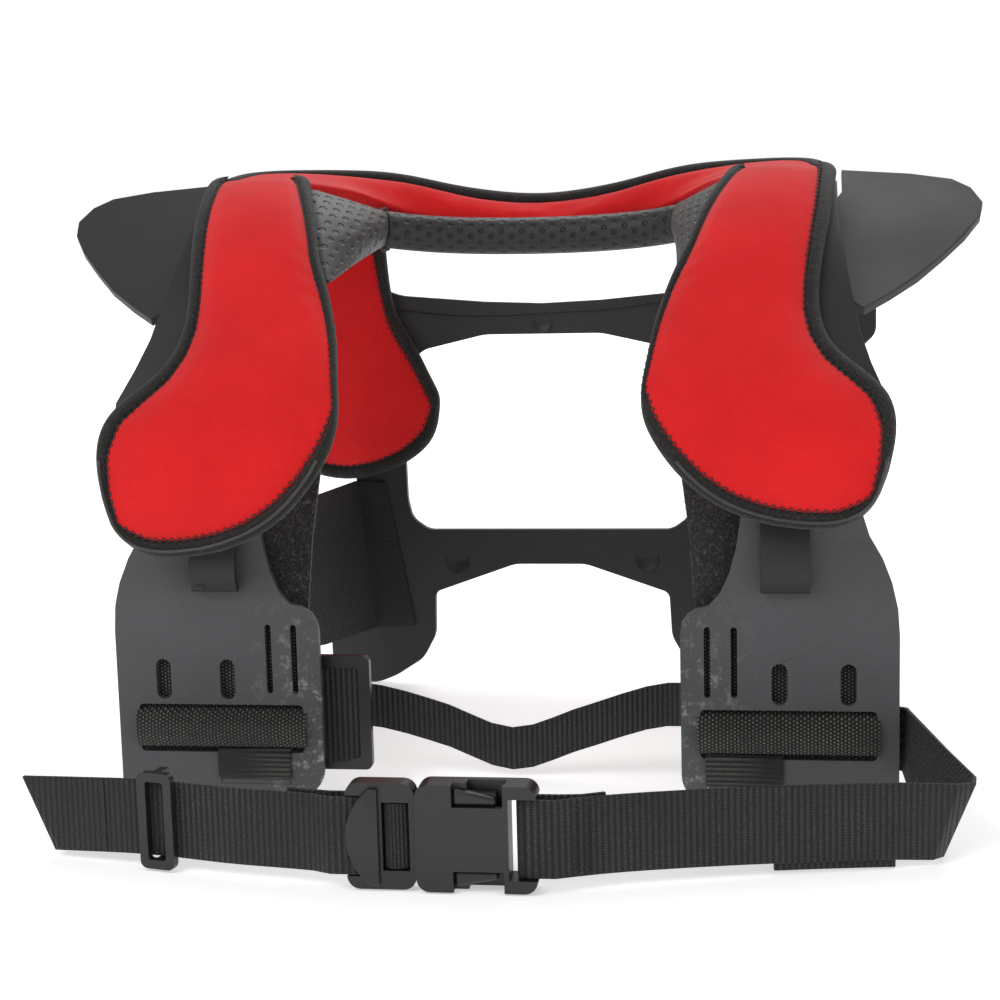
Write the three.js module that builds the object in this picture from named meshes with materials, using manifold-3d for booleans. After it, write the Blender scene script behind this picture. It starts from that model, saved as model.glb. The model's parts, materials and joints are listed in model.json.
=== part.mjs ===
// Motocross neck brace, standing on its chest plates, its back plate's legs and its belt.
// Millimetres. -Y is the front, +Z is up, and left and right are as seen from the front.
// Run with the npm packages three and manifold-3d.
import * as THREE from "three";
import { mergeVertices } from "three/addons/utils/BufferGeometryUtils.js";
import Module from "manifold-3d";

const wasm = await Module();
wasm.setup();

// Clear space between pieces that touch
const GAP = 0.3;

// Shoulder saddle: the line from the front lobe's foot over the shoulder to the back, seen from the side
const CREST_DEPTH = 46;
const CREST_HEIGHT = 258;
const FRONT_REACH = 123;
const FRONT_DROP = 170;
const BACK_REACH = 85;
const BACK_DROP = 90;
const SADDLE_LINE = [
  { reach: -0.99, drop: 1.0 },
  { reach: -1.0, drop: 0.82 },
  { reach: -0.975, drop: 0.647 },
  { reach: -0.86, drop: 0.5 },
  { reach: -0.69, drop: 0.353 },
  { reach: -0.504, drop: 0.194 },
  { reach: -0.285, drop: 0.076 },
  { reach: 0, drop: 0 },
  { reach: 0.4, drop: 0.05 },
  { reach: 0.73, drop: 0.19 },
  { reach: 0.918, drop: 0.36 },
  { reach: 0.976, drop: 0.667 },
  { reach: 1.0, drop: 1.0 },
];

// Front lobes: across is from the lobe's inner point outwards, along is from the crest down to the foot
const LOBE_INNER = 60;
const LOBE_WIDTH = 104;
const LOBE_LENGTH = 202;
const LOBE_THICK = 12;
const LOBE_PIVOT = 115;
const FRONT_LOBE = {
  foot: [
    { across: 0.018, along: 0.705 },
    { across: 0.025, along: 0.775 },
    { across: 0.085, along: 0.84 },
    { across: 0.19, along: 0.905 },
    { across: 0.32, along: 0.955 },
    { across: 0.465, along: 0.985 },
    { across: 0.6, along: 0.998 },
    { across: 0.74, along: 1.0 },
    { across: 0.85, along: 0.98 },
    { across: 0.92, along: 0.935 },
  ],
  inner: [
    { across: 0.018, along: 0.705 },
    { across: 0.04, along: 0.62 },
    { across: 0.066, along: 0.53 },
    { across: 0.125, along: 0.42 },
    { across: 0.185, along: 0.335 },
    { across: 0.215, along: 0.265 },
    { across: 0.255, along: 0.18 },
    { across: 0.3, along: 0.1 },
    { across: 0.34, along: 0.02 },
  ],
  outer: [
    { across: 0.92, along: 0.935 },
    { across: 0.97, along: 0.86 },
    { across: 0.993, along: 0.785 },
    { across: 0.965, along: 0.72 },
    { across: 0.86, along: 0.665 },
    { across: 0.755, along: 0.61 },
    { across: 0.705, along: 0.53 },
    { across: 0.705, along: 0.44 },
    { across: 0.728, along: 0.345 },
    { across: 0.76, along: 0.225 },
    { across: 0.778, along: 0.11 },
    { across: 0.79, along: 0.02 },
  ],
  top: [
    { across: 0.34, along: 0.02 },
    { across: 0.48, along: 0.005 },
    { across: 0.64, along: 0.005 },
    { across: 0.79, along: 0.02 },
  ],
};

// Rear lobes: across is from the lobe's inner point outwards, up is from the foot to the top
const REAR_INNER = 52;
const REAR_WIDTH = 93;
const REAR_FOOT = 109;
const REAR_HEIGHT = 130;
const REAR_THICK = 10;
const REAR_LOBE = {
  foot: [
    { across: 0, along: 0.33 },
    { across: 0.05, along: 0.16 },
    { across: 0.26, along: 0.045 },
    { across: 0.55, along: 0 },
    { across: 0.82, along: 0.06 },
    { across: 0.96, along: 0.2 },
    { across: 1, along: 0.36 },
  ],
  inner: [
    { across: 0, along: 0.33 },
    { across: 0.12, along: 0.52 },
    { across: 0.235, along: 0.7 },
    { across: 0.26, along: 1 },
  ],
  outer: [
    { across: 1, along: 0.36 },
    { across: 0.87, along: 0.6 },
    { across: 0.68, along: 0.8 },
    { across: 0.52, along: 1 },
  ],
  top: [
    { across: 0.26, along: 1 },
    { across: 0.39, along: 1 },
    { across: 0.52, along: 1 },
  ],
};

// Edge binding of the pads
const BIND_WIDTH = 7;
const BIND_THICK = 6.5;
const PAD_EDGE = 5;

// How each side hangs: the left lobe hangs lower than the right one
const SIDES = [
  { name: "left", sign: -1, splay: 0.3, stretch: 1.03, loopInset: 7 },
  { name: "right", sign: 1, splay: 0, stretch: 0.973, loopInset: 3 },
];

// Collar band round the back of the neck, from crest to crest
const BAND_THICK = 8;
const BAND_END_THICK = 5;
const BAND_INNER_HALF = 108;
const BAND_OUTER_HALF = 140;
const BAND_BACK = 80;
const BAND_DIP = 13;
const BAND_WALK = [
  { inner: 0.93, innerBack: 0.025, innerDrop: 0.34, outer: 1, outerBack: 0.025, outerDrop: 0.3 },
  { inner: 0.84, innerBack: 0.225, innerDrop: 0.6, outer: 0.96, outerBack: 0.32, outerDrop: 0.05 },
  { inner: 0.735, innerBack: 0.46, innerDrop: 0.98, outer: 0.79, outerBack: 0.62, outerDrop: -0.05 },
  { inner: 0.528, innerBack: 0.69, innerDrop: 1.7, outer: 0.52, outerBack: 0.87, outerDrop: 0.05 },
  { inner: 0.27, innerBack: 0.756, innerDrop: 1.99, outer: 0.25, outerBack: 0.96, outerDrop: 0.7 },
  { inner: 0, innerBack: 0.775, innerDrop: 2.03, outer: 0, outerBack: 1, outerDrop: 1 },
];

// Neck roll: a padded tube under the band's inner edge, between the two neck walls
const ROLL_RADIUS = 9;
const ROLL_HALF = 71;
const ROLL_BACK = 51;
const ROLL_DIP = 27;
const ROLL_WALK = [
  { across: 1, back: 0.74, drop: 0.81 },
  { across: 0.85, back: 0.86, drop: 0.88 },
  { across: 0.6, back: 0.95, drop: 0.95 },
  { across: 0.3, back: 0.99, drop: 0.99 },
  { across: 0, back: 1, drop: 1 },
];

// Neck walls: padded sides from the roll's ends to the front lobes' inner edges
const WALL_THICK = 6;
const WALL_TOP = 0.97;
const WALL_FOOT = 0.45;
const WALL_TUCK = 1.5;
const WALL_BULGE = 4;
const WALL_LIP = 0.15;

// Shoulder shells: hard arches under the pads
const SHELL_THICK = 3;
const SHELL_SEAT = 0.8;
const SHELL_SINK = 5;
const SHELL_WALK = [
  { along: 0.78, outer: 0.95, inner: 0.58 },
  { along: 0.7, outer: 0.955, inner: 0.5 },
  { along: 0.62, outer: 0.9, inner: 0.42 },
  { along: 0.54, outer: 0.86, inner: 0.42 },
  { along: 0.44, outer: 0.83, inner: 0.42 },
  { along: 0.32, outer: 0.8, inner: 0.42 },
  { along: 0.18, outer: 0.785, inner: 0.42 },
  { along: 0.06, outer: 0.785, inner: 0.42 },
];
const SHELL_BACK_OUTER = 138;
const SHELL_BACK_INNER = 121;
const SHELL_BACK_WALK = [
  { reach: 0.02, sink: 1 },
  { reach: 0.2, sink: 1 },
  { reach: 0.4, sink: 0.8 },
  { reach: 0.6, sink: 0.3 },
  { reach: 0.75, sink: 0 },
  { reach: 0.86, sink: 0 },
];

// Wings: flat fins outboard of the shells
const WING_THICK = 4;
const WING_ROOT = 144;
const WING_SPAN = 60;
const WING_LENGTH = 108;
const WING_TOP = 259;
const WING_DEPTH = 58;
const WING_LEAN = 58;
const WING_EDGE = [
  { out: 0, down: 0 },
  { out: 0.5, down: 0.04 },
  { out: 0.8, down: 0.087 },
  { out: 0.93, down: 0.155 },
  { out: 1, down: 0.26 },
  { out: 0.97, down: 0.36 },
  { out: 0.85, down: 0.49 },
  { out: 0.68, down: 0.63 },
  { out: 0.5, down: 0.765 },
  { out: 0.3, down: 0.88 },
  { out: 0.12, down: 0.97 },
  { out: -0.2, down: 0.78 },
  { out: -0.2, down: 0.4 },
  { out: 0, down: 0.16 },
];

// Back plate: a leaning frame with two crossbars, two rails and two legs
const BACK_THICK = 4;
const BACK_FACE = 138;
const BACK_LEAN = 0.095;
const BACK_TOP = 212;
const BAR_TOP = 197;
const BAR_FOOT = 182;
const BAR_HALF = 29;
const ARM_HALF = 162;
const ARM_FOOT = 172;
const RAIL_INNER = 70;
const RAIL_OUTER = 98;
const LOW_BAR_TOP = 82;
const LOW_BAR_FOOT = 64;
const LOW_BAR_HALF = 18;
const LEG_INNER = 60;
const LEG_KNEE = 49;
const LEG_OUTER = 116;
const FOOT_INNER = 92;
const BACK_CORNER = 8;
const BAR_RISE = 1.2;

// Chest plates
const PLATE_THICK = 3;
const PLATE_FACE = -61;
const PLATE_INNER = 76;
const PLATE_OUTER = 165;
const PLATE_SHOULDER = 85;
const PLATE_NECK = 101;
const PLATE_TOP = 158;
const PLATE_FLAT = 88;
const PLATE_CORNER = 13;
const PLATE_HOLLOW = 4;
const PLATE_CLEAR = 1.5;
const SLOT_WIDTH = 2.6;
const SLOT_HEIGHT = 30;
const SLOT_PLACES = [87, 98];
const SLOT_MIDDLE = 61;
const OVAL_WIDTH = 6.5;
const OVAL_HEIGHT = 17.5;
const OVAL_PLACES = [116.5, 144.5];
const OVAL_MIDDLE = 52;
const WIDE_SLOT_INNER = 84;
const WIDE_SLOT_WIDTH = 72;
const WIDE_SLOT_FOOT = 20;
const WIDE_SLOT_HEIGHT = 21;
const LOW_SLOT_FOOT = 6;
const LOW_SLOT_HEIGHT = 4.6;
const LOOP_WIDTH = 30;
const LOW_SLOT_WIDTH = 40;

// Webbing
const WEB_THICK = 1.8;
const WEB_WIDTH = 30;

const CROSS_WIDTH = 19;
const CROSS_WALK = [
  { across: -1.13, back: 12.8, foot: 27 },
  { across: -0.82, back: 28, foot: 24 },
  { across: -0.4, back: 34, foot: 14 },
  { across: 0, back: 36, foot: 2.5 },
  { across: 0.4, back: 34, foot: 12.5 },
  { across: 0.87, back: 28, foot: 25 },
  { across: 1.18, back: 14, foot: 28 },
];

// Hook-and-loop straps behind the chest plates' inner edges
const HOOK_LOOP_WIDTH = 25;
const HOOK_LOOP_THICK = 2.4;
const HOOK_LOOP_WALK = [
  { out: -2, back: 19, height: 168 },
  { out: 0, back: 12, height: 140 },
  { out: 4, back: 8, height: 110 },
  { out: 6, back: 4, height: 80 },
  { out: 6, back: 3.4, height: 52 },
];

// Side straps: forward is the share of the way from the back plate to the chest plate
const SIDE_STRAP_CLEAR = 8;
const SIDE_STRAP_WALK = [
  { out: 1, tilt: 12, forward: 0, top: 107, foot: 31 },
  { out: 22, tilt: 6, forward: 0, top: 108, foot: 30 },
  { out: 38, tilt: 0, forward: 0.25, top: 108, foot: 32 },
  { out: 56, tilt: 0, forward: 0.55, top: 108, foot: 38 },
  { out: 60, tilt: 0, forward: 0.82, top: 108, foot: 44 },
  { out: 54, tilt: 0, forward: 1, top: 108, foot: 48 },
];

// Clip tongues on the chest plates
const TONGUE_WIDTH = 20;
const TONGUE_THICK = 3;
const TONGUE_PLACE = 119;
const TONGUE_FOOT = 92;
const TONGUE_RISE = 34;
const TONGUE_STAND = 6;

// Ladder lock behind the left chest plate's inner edge
const LOCK_SHOW = 19;
const LOCK_BACK = 7.2;
const LOCK_FOOT = 10;
const LOCK_WIDTH = 29;
const LOCK_HEIGHT = 50;
const LOCK_RIM = 5;
const LOCK_THICK = 4;

// Side-release buckle on the front belt
const BUCKLE_MIDDLE = -7;
const BUCKLE_LENGTH = 72;
const BUCKLE_HEIGHT = 41;
const BUCKLE_THICK = 12;
const BUCKLE_FACE = -171;
const MALE_SHARE = 0.37;
const BAR_WIDTH = 3.2;
const BAR_INSET = 2.2;
const BAR_SLOT = 5.2;
const WEB_CLEAR = 0.6;
const LOOP_TAIL = 28;
const LAYER_STEP = 3;
const BUCKLE_CORNER = 5;
const MALE_THICK_SHARE = 0.66;
const ARM_THICK = 5;
const ARM_HEIGHT = 5;
const ARM_INSET = 4;
const ARM_CLEAR = 0.5;
const ARM_REACH = 0.66;
const WINDOW_FROM = 0.42;
const WINDOW_TO = 0.74;

// Belt line seen from above: across is of the half span, back is of the bow
const BELT_SPAN = 182;
const BELT_BOW = 42;
const BELT_LEFT = [
  { across: -0.3, back: 0.1, lift: 1.1 },
  { across: -0.5, back: 0.28, lift: 1 },
  { across: -0.69, back: 0.48, lift: 1 },
  { across: -0.86, back: 0.66, lift: 0.6 },
  { across: -0.955, back: 0.74, lift: 0.4 },
];
const BELT_RIGHT = [
  { across: 0.3, back: 0.22, lift: 1.1 },
  { across: 0.5, back: 0.48, lift: 1 },
  { across: 0.7, back: 0.68, lift: 0.9 },
  { across: 0.88, back: 0.86, lift: 0.7 },
];
const BELT_RETURN = [
  { back: 0.08, topOut: 1.01, top: 31, footOut: 0.956, foot: 1.5, fold: 1 },
  { back: 0.15, topOut: 1.044, top: 30, footOut: 0.978, foot: 1, fold: 1 },
  { back: 0.25, topOut: 1.049, top: 30, footOut: 0.973, foot: 2, fold: 1 },
  { back: 0.52, topOut: 1, top: 34, footOut: 0.94, foot: 7, fold: 2 },
  { back: 0.97, topOut: 0.923, top: 41, footOut: 0.918, foot: 14, fold: 0 },
  { back: 1, topOut: 0.857, top: 42, footOut: 0.846, foot: 15, fold: 0 },
  { back: 1, topOut: 0.681, top: 38, footOut: 0.67, foot: 9, fold: 0 },
];
const RETURN_CLEAR = 6.6;
const BELT_SLANT = 6;
const BELT_LIFT = 4.5;
const TAIL_FROM = 112;
const TAIL_TO = 163;
const TAIL_DROP = 3.5;
const GLIDE_PLACE = 0.635;
const GLIDE_WIDTH = 15;
const GLIDE_BAR = 3.6;
const GLIDE_THICK = 3.2;
const GLIDE_CLEAR = 0.6;

// Helpers

// A closed solid from a geometry, for the boolean cuts and joins
function toSolid(geometry) {
  const bare = new THREE.BufferGeometry();
  const flat = geometry.index ? geometry.toNonIndexed() : geometry;
  bare.setAttribute("position", flat.getAttribute("position"));
  const merged = mergeVertices(bare, 1e-3);
  const mesh = new wasm.Mesh({
    numProp: 3,
    vertProperties: merged.attributes.position.array,
    triVerts: new Uint32Array(merged.index.array),
  });
  return new wasm.Manifold(mesh);
}

function toGeometry(solid) {
  const mesh = solid.getMesh();
  const geometry = new THREE.BufferGeometry();
  geometry.setAttribute("position", new THREE.BufferAttribute(mesh.vertProperties, 3));
  geometry.setIndex(new THREE.BufferAttribute(mesh.triVerts, 1));
  geometry.computeVertexNormals();
  return geometry;
}

// Faces turned to point out, whichever way round the points were given
function facingOut(points, faces) {
  let volume = 0;
  for (const [a, b, c] of faces) {
    volume += points[a].dot(points[b].clone().cross(points[c]));
  }
  const turned = volume < 0 ? faces.map(([a, b, c]) => [a, c, b]) : faces;
  const geometry = new THREE.BufferGeometry();
  const numbers = points.flatMap((p) => p.toArray());
  geometry.setAttribute("position", new THREE.Float32BufferAttribute(numbers, 3));
  geometry.setIndex(turned.flat());
  geometry.computeVertexNormals();
  return geometry;
}

// A solid through rings of points; the rings close on themselves, and the row of rings may too
function loft(rings, looped = false) {
  const points = rings.flat();
  const count = rings[0].length;
  const faces = [];
  const last = looped ? rings.length : rings.length - 1;
  for (let i = 0; i < last; i++) {
    const here = i * count;
    const next = ((i + 1) % rings.length) * count;
    for (let j = 0; j < count; j++) {
      const k = (j + 1) % count;
      faces.push([here + j, next + j, next + k], [here + j, next + k, here + k]);
    }
  }
  if (!looped) {
    const end = (rings.length - 1) * count;
    for (let j = 1; j < count - 1; j++) {
      faces.push([0, j, j + 1], [end, end + j + 1, end + j]);
    }
  }
  return facingOut(points, faces);
}

// A solid between two grids of points of the same size
function slab(front, back) {
  const rows = front.length;
  const columns = front[0].length;
  const points = [...front.flat(), ...back.flat()];
  const offset = rows * columns;
  const at = (i, j) => i * columns + j;
  const faces = [];
  const quad = (a, b, c, d) => faces.push([a, b, c], [a, c, d]);
  for (let i = 0; i < rows - 1; i++) {
    for (let j = 0; j < columns - 1; j++) {
      quad(at(i, j), at(i, j + 1), at(i + 1, j + 1), at(i + 1, j));
      quad(offset + at(i, j), offset + at(i + 1, j), offset + at(i + 1, j + 1), offset + at(i, j + 1));
    }
  }
  for (let j = 0; j < columns - 1; j++) {
    quad(at(0, j), offset + at(0, j), offset + at(0, j + 1), at(0, j + 1));
    quad(at(rows - 1, j), at(rows - 1, j + 1), offset + at(rows - 1, j + 1), offset + at(rows - 1, j));
  }
  for (let i = 0; i < rows - 1; i++) {
    quad(at(i, 0), at(i + 1, 0), offset + at(i + 1, 0), offset + at(i, 0));
    const c = columns - 1;
    quad(at(i, c), offset + at(i, c), offset + at(i + 1, c), at(i + 1, c));
  }
  return facingOut(points, faces);
}

const mix = THREE.MathUtils.lerp;
const steps = (count) => Array.from({ length: count + 1 }, (_, i) => i / count);

// Webbing between two edge lines: each station has an upper and a lower edge point
function ribbon(stations, thick) {
  const middles = stations.map((s) => s.upper.clone().add(s.lower).multiplyScalar(0.5));
  const rings = stations.map((s, i) => {
    const before = middles[Math.max(0, i - 1)];
    const after = middles[Math.min(middles.length - 1, i + 1)];
    const along = after.clone().sub(before);
    const across = s.upper.clone().sub(s.lower);
    const out = along.cross(across).normalize().multiplyScalar(thick / 2);
    return [
      s.upper.clone().add(out),
      s.lower.clone().add(out),
      s.lower.clone().sub(out),
      s.upper.clone().sub(out),
    ];
  });
  return loft(rings);
}

// A flat outline in X and Z, extruded from y = 0 backwards
function plate(shape, depth) {
  const geometry = new THREE.ExtrudeGeometry(shape, { depth, bevelEnabled: false, curveSegments: 4 });
  geometry.rotateX(Math.PI / 2);
  geometry.translate(0, depth, 0);
  return geometry;
}

function roundedRect(x, z, width, height, radius) {
  const r = Math.min(radius, width / 2 - 0.01, height / 2 - 0.01);
  const shape = new THREE.Shape();
  shape.moveTo(x + r, z);
  shape.lineTo(x + width - r, z);
  shape.absarc(x + width - r, z + r, r, -Math.PI / 2, 0, false);
  shape.lineTo(x + width, z + height - r);
  shape.absarc(x + width - r, z + height - r, r, 0, Math.PI / 2, false);
  shape.lineTo(x + r, z + height);
  shape.absarc(x + r, z + height - r, r, Math.PI / 2, Math.PI, false);
  shape.lineTo(x, z + r);
  shape.absarc(x + r, z + r, r, Math.PI, Math.PI * 1.5, false);
  return shape;
}

// A box given by its lowest and highest corners
function block(low, high) {
  const geometry = new THREE.BoxGeometry(high[0] - low[0], high[1] - low[1], high[2] - low[2]);
  geometry.translate((low[0] + high[0]) / 2, (low[1] + high[1]) / 2, (low[2] + high[2]) / 2);
  return toSolid(geometry);
}

// The shoulder saddle

const saddleLine = new THREE.CatmullRomCurve3(
  SADDLE_LINE.map(({ reach, drop }) => {
    const front = reach <= 0;
    const y = CREST_DEPTH + reach * (front ? FRONT_REACH : BACK_REACH);
    const z = CREST_HEIGHT - drop * (front ? FRONT_DROP : BACK_DROP);
    return new THREE.Vector3(0, y, z);
  }),
);
saddleLine.arcLengthDivisions = 600;
const saddleLength = saddleLine.getLength();
const crestRow = SADDLE_LINE.findIndex((row) => row.reach === 0) / (SADDLE_LINE.length - 1);

// Share of the saddle line's length at which the crest lies
function lengthShareOf(t) {
  const lengths = saddleLine.getLengths(600);
  return lengths[Math.round(t * 600)] / lengths[600];
}
const crestShare = lengthShareOf(crestRow);

// A point on the saddle: along is the distance from the crest, forward positive; lift is off its surface
function onSaddle(x, along, lift) {
  const share = THREE.MathUtils.clamp(crestShare - along / saddleLength, 0, 1);
  const point = saddleLine.getPointAt(share);
  const tangent = saddleLine.getTangentAt(share);
  const out = new THREE.Vector3(0, -tangent.z, tangent.y);
  return new THREE.Vector3(x, point.y + out.y * lift, point.z + out.z * lift);
}

// Distance from the crest at which the front of the saddle has this height
function alongAtHeight(height) {
  let near = 0;
  let far = crestShare * saddleLength;
  for (let i = 0; i < 40; i++) {
    const middle = (near + far) / 2;
    if (onSaddle(0, middle, 0).z > height) near = middle;
    else far = middle;
  }
  return near;
}

// Pads

// Four edge curves of a lobe, from its table
function lobeEdges(table, inner, width, length) {
  const curve = (rows) =>
    new THREE.SplineCurve(rows.map((r) => new THREE.Vector2(inner + r.across * width, r.along * length)));
  return {
    foot: curve(table.foot),
    inner: curve(table.inner),
    outer: curve(table.outer),
    top: curve(table.top),
  };
}

// A place on a lobe: u runs from the foot to the top, v from the inner to the outer edge
function onLobe(edges, u, v) {
  const foot = edges.foot.getPointAt(v);
  const top = edges.top.getPointAt(v);
  const inner = edges.inner.getPointAt(u);
  const outer = edges.outer.getPointAt(u);
  const corners = edges.foot
    .getPointAt(0)
    .multiplyScalar((1 - u) * (1 - v))
    .add(edges.foot.getPointAt(1).multiplyScalar((1 - u) * v))
    .add(edges.top.getPointAt(0).multiplyScalar(u * (1 - v)))
    .add(edges.top.getPointAt(1).multiplyScalar(u * v));
  return foot
    .multiplyScalar(1 - u)
    .add(top.multiplyScalar(u))
    .add(inner.multiplyScalar(1 - v))
    .add(outer.multiplyScalar(v))
    .sub(corners);
}

// The same place drawn in from the edge by a margin
function insideLobe(edges, u, v, margin) {
  const length = onLobe(edges, 0, v).distanceTo(onLobe(edges, 1, v));
  const du = margin / length;
  const uu = mix(du, 1 - du, u);
  const width = onLobe(edges, uu, 0).distanceTo(onLobe(edges, uu, 1));
  const dv = margin / width;
  return onLobe(edges, uu, mix(dv, 1 - dv, v));
}

const PAD_ROWS = 14;
const PAD_COLUMNS = 8;

// How full the pad is: none at its edge, all in its middle
const fullness = (u, v) => Math.pow(Math.sin(Math.PI * u) * Math.sin(Math.PI * v), 0.4);

// The pad inside the binding, its back on the carrying surface
function padSolid(edges, place, thick) {
  const grid = (liftOf) =>
    steps(PAD_ROWS).map((u) =>
      steps(PAD_COLUMNS).map((v) => {
        const flat = insideLobe(edges, u, v, BIND_WIDTH + 2 * GAP);
        return place(flat, liftOf(u, v));
      }),
    );
  const front = grid((u, v) => mix(PAD_EDGE, thick, fullness(u, v)));
  const back = grid(() => 0);
  return slab(front, back);
}

// The binding round the pad's edge, a rounded strip
function bindingSolid(edges, place) {
  const rim = [];
  const around = (count, at) => steps(count).slice(0, -1).forEach((t) => rim.push(at(t)));
  around(18, (t) => [0, t]);
  around(18, (t) => [t, 1]);
  around(5, (t) => [1, 1 - t]);
  around(18, (t) => [1 - t, 0]);
  const section = [
    { inset: BIND_WIDTH, lift: 0 },
    { inset: BIND_WIDTH, lift: 0.85 * BIND_THICK },
    { inset: 0.5 * BIND_WIDTH, lift: BIND_THICK },
    { inset: 0, lift: 0.6 * BIND_THICK },
    { inset: 0.15 * BIND_WIDTH, lift: 0 },
  ];
  const rings = rim.map(([u, v]) =>
    section.map(({ inset, lift }) => place(insideLobe(edges, u, v, inset), lift)),
  );
  return loft(rings, true);
}

// Front lobes lie on the saddle, turned a little about the crest
function frontPlace(side) {
  const turn = THREE.MathUtils.degToRad(side.splay);
  return (flat, lift) => {
    const x = flat.x - LOBE_PIVOT;
    const along = flat.y * side.stretch;
    const turnedX = LOBE_PIVOT + x * Math.cos(turn) + along * Math.sin(turn);
    const turnedAlong = along * Math.cos(turn) - x * Math.sin(turn);
    return onSaddle(side.sign * turnedX, turnedAlong, lift);
  };
}

// Front face of the leaning back plate at a height
const backFaceAt = (z) => BACK_FACE - BACK_LEAN * z;

// Rear lobes stand on the back plate's front face, on the body's side
function rearPlace(side) {
  return (flat, lift) => {
    const z = REAR_FOOT + flat.y;
    return new THREE.Vector3(side.sign * flat.x, backFaceAt(z) - GAP - lift, z);
  };
}

const frontEdges = lobeEdges(FRONT_LOBE, LOBE_INNER, LOBE_WIDTH, LOBE_LENGTH);
const rearEdges = lobeEdges(REAR_LOBE, REAR_INNER, REAR_WIDTH, REAR_HEIGHT);

// Collar band, its top binding, the neck roll and the neck walls

// A smooth curve through both halves of a walk that runs from the right end to the middle
function mirroredCurve(half) {
  const other = half.slice(0, -1).reverse();
  const points = [...half, ...other.map((p) => new THREE.Vector3(-p.x, p.y, p.z))];
  return new THREE.CatmullRomCurve3(points);
}

const bandMiddle = onSaddle(0, 0, GAP + BAND_THICK / 2);
const bandInner = mirroredCurve(
  BAND_WALK.map(
    (r) =>
      new THREE.Vector3(
        r.inner * BAND_INNER_HALF,
        bandMiddle.y + r.innerBack * BAND_BACK,
        bandMiddle.z - r.innerDrop * BAND_DIP,
      ),
  ),
);
const bandOuter = mirroredCurve(
  BAND_WALK.map(
    (r) =>
      new THREE.Vector3(
        r.outer * BAND_OUTER_HALF,
        bandMiddle.y + r.outerBack * BAND_BACK,
        bandMiddle.z - r.outerDrop * BAND_DIP,
      ),
  ),
);

// A point of the band: t runs from the right end to the left, inset is the distance from the outer edge
function onBand(t, inset, lift) {
  const inner = bandInner.getPointAt(t);
  const outer = bandOuter.getPointAt(t);
  const inwards = inner.clone().sub(outer).normalize();
  const along = bandOuter.getTangentAt(t);
  const up = inwards.clone().cross(along).normalize();
  return outer.addScaledVector(inwards, inset).addScaledVector(up, -lift);
}

const bandWidthAt = (t) => bandInner.getPointAt(t).distanceTo(bandOuter.getPointAt(t));

const BAND_ROWS = 32;

function collarBand() {
  const rings = steps(BAND_ROWS).map((t) => {
    const near = BIND_WIDTH + 2 * GAP;
    const far = bandWidthAt(t);
    const half = mix(BAND_END_THICK, BAND_THICK, Math.min(1, 8 * t, 8 - 8 * t)) / 2;
    const edge = PAD_EDGE / 2;
    return [
      onBand(t, near, edge),
      onBand(t, mix(near, far, 0.3), half),
      onBand(t, mix(near, far, 0.7), half),
      onBand(t, far, edge),
      onBand(t, far, -edge),
      onBand(t, mix(near, far, 0.7), -half),
      onBand(t, mix(near, far, 0.3), -half),
      onBand(t, near, -edge),
    ];
  });
  return loft(rings);
}

function bandBinding() {
  const half = BIND_THICK / 2;
  const rings = steps(BAND_ROWS).map((t) => [
    onBand(t, BIND_WIDTH, 0.8 * half),
    onBand(t, 0.5 * BIND_WIDTH, half),
    onBand(t, 0, 0.5 * half),
    onBand(t, 0, -0.5 * half),
    onBand(t, 0.5 * BIND_WIDTH, -half),
    onBand(t, BIND_WIDTH, -0.8 * half),
  ]);
  return loft(rings);
}

const rollLine = mirroredCurve(
  ROLL_WALK.map((r) => {
    const top = onSaddle(0, 0, 0);
    return new THREE.Vector3(r.across * ROLL_HALF, top.y + r.back * ROLL_BACK, top.z - r.drop * ROLL_DIP);
  }),
);

function neckRoll() {
  const section = new THREE.Shape();
  section.absarc(0, 0, ROLL_RADIUS, 0, Math.PI * 2, false);
  return new THREE.ExtrudeGeometry(section, { steps: 30, curveSegments: 5, extrudePath: rollLine });
}

// The wall runs from under the lobe's inner edge back to the roll's end, whose section it takes up
function neckWall(side) {
  const lobe = frontPlace(side);
  const end = side.sign > 0 ? 0 : 1;
  const centre = rollLine.getPointAt(end);
  const along = rollLine.getTangentAt(end).multiplyScalar(side.sign > 0 ? -1 : 1);
  centre.addScaledVector(along, GAP);
  const outwards = new THREE.Vector3(-along.y, along.x, 0).normalize();
  if (outwards.x * side.sign < 0) outwards.negate();
  const up = outwards.clone().cross(along).normalize();
  if (up.z < 0) up.negate();
  const grid = (face) =>
    steps(8).map((s) =>
      steps(5).map((r) => {
        const edge = onLobe(frontEdges, mix(WALL_TOP, WALL_FOOT, r), 0);
        const front = lobe(edge, -2 * GAP);
        front.x += side.sign * (WALL_TUCK + face * (WALL_THICK / 2));
        const angle = Math.PI * mix(WALL_LIP, 1 - WALL_LIP, r);
        const rear = centre
          .clone()
          .addScaledVector(outwards, face * ROLL_RADIUS * Math.sin(angle))
          .addScaledVector(up, ROLL_RADIUS * Math.cos(angle));
        const point = front.lerp(rear, s);
        point.x -= side.sign * WALL_BULGE * Math.sin(Math.PI * s) * Math.sin(Math.PI * r);
        return point;
      }),
    );
  return slab(grid(-1), grid(1));
}

// Shoulder shell under the pads, from above the lobe's foot over the crest to the back plate

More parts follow.
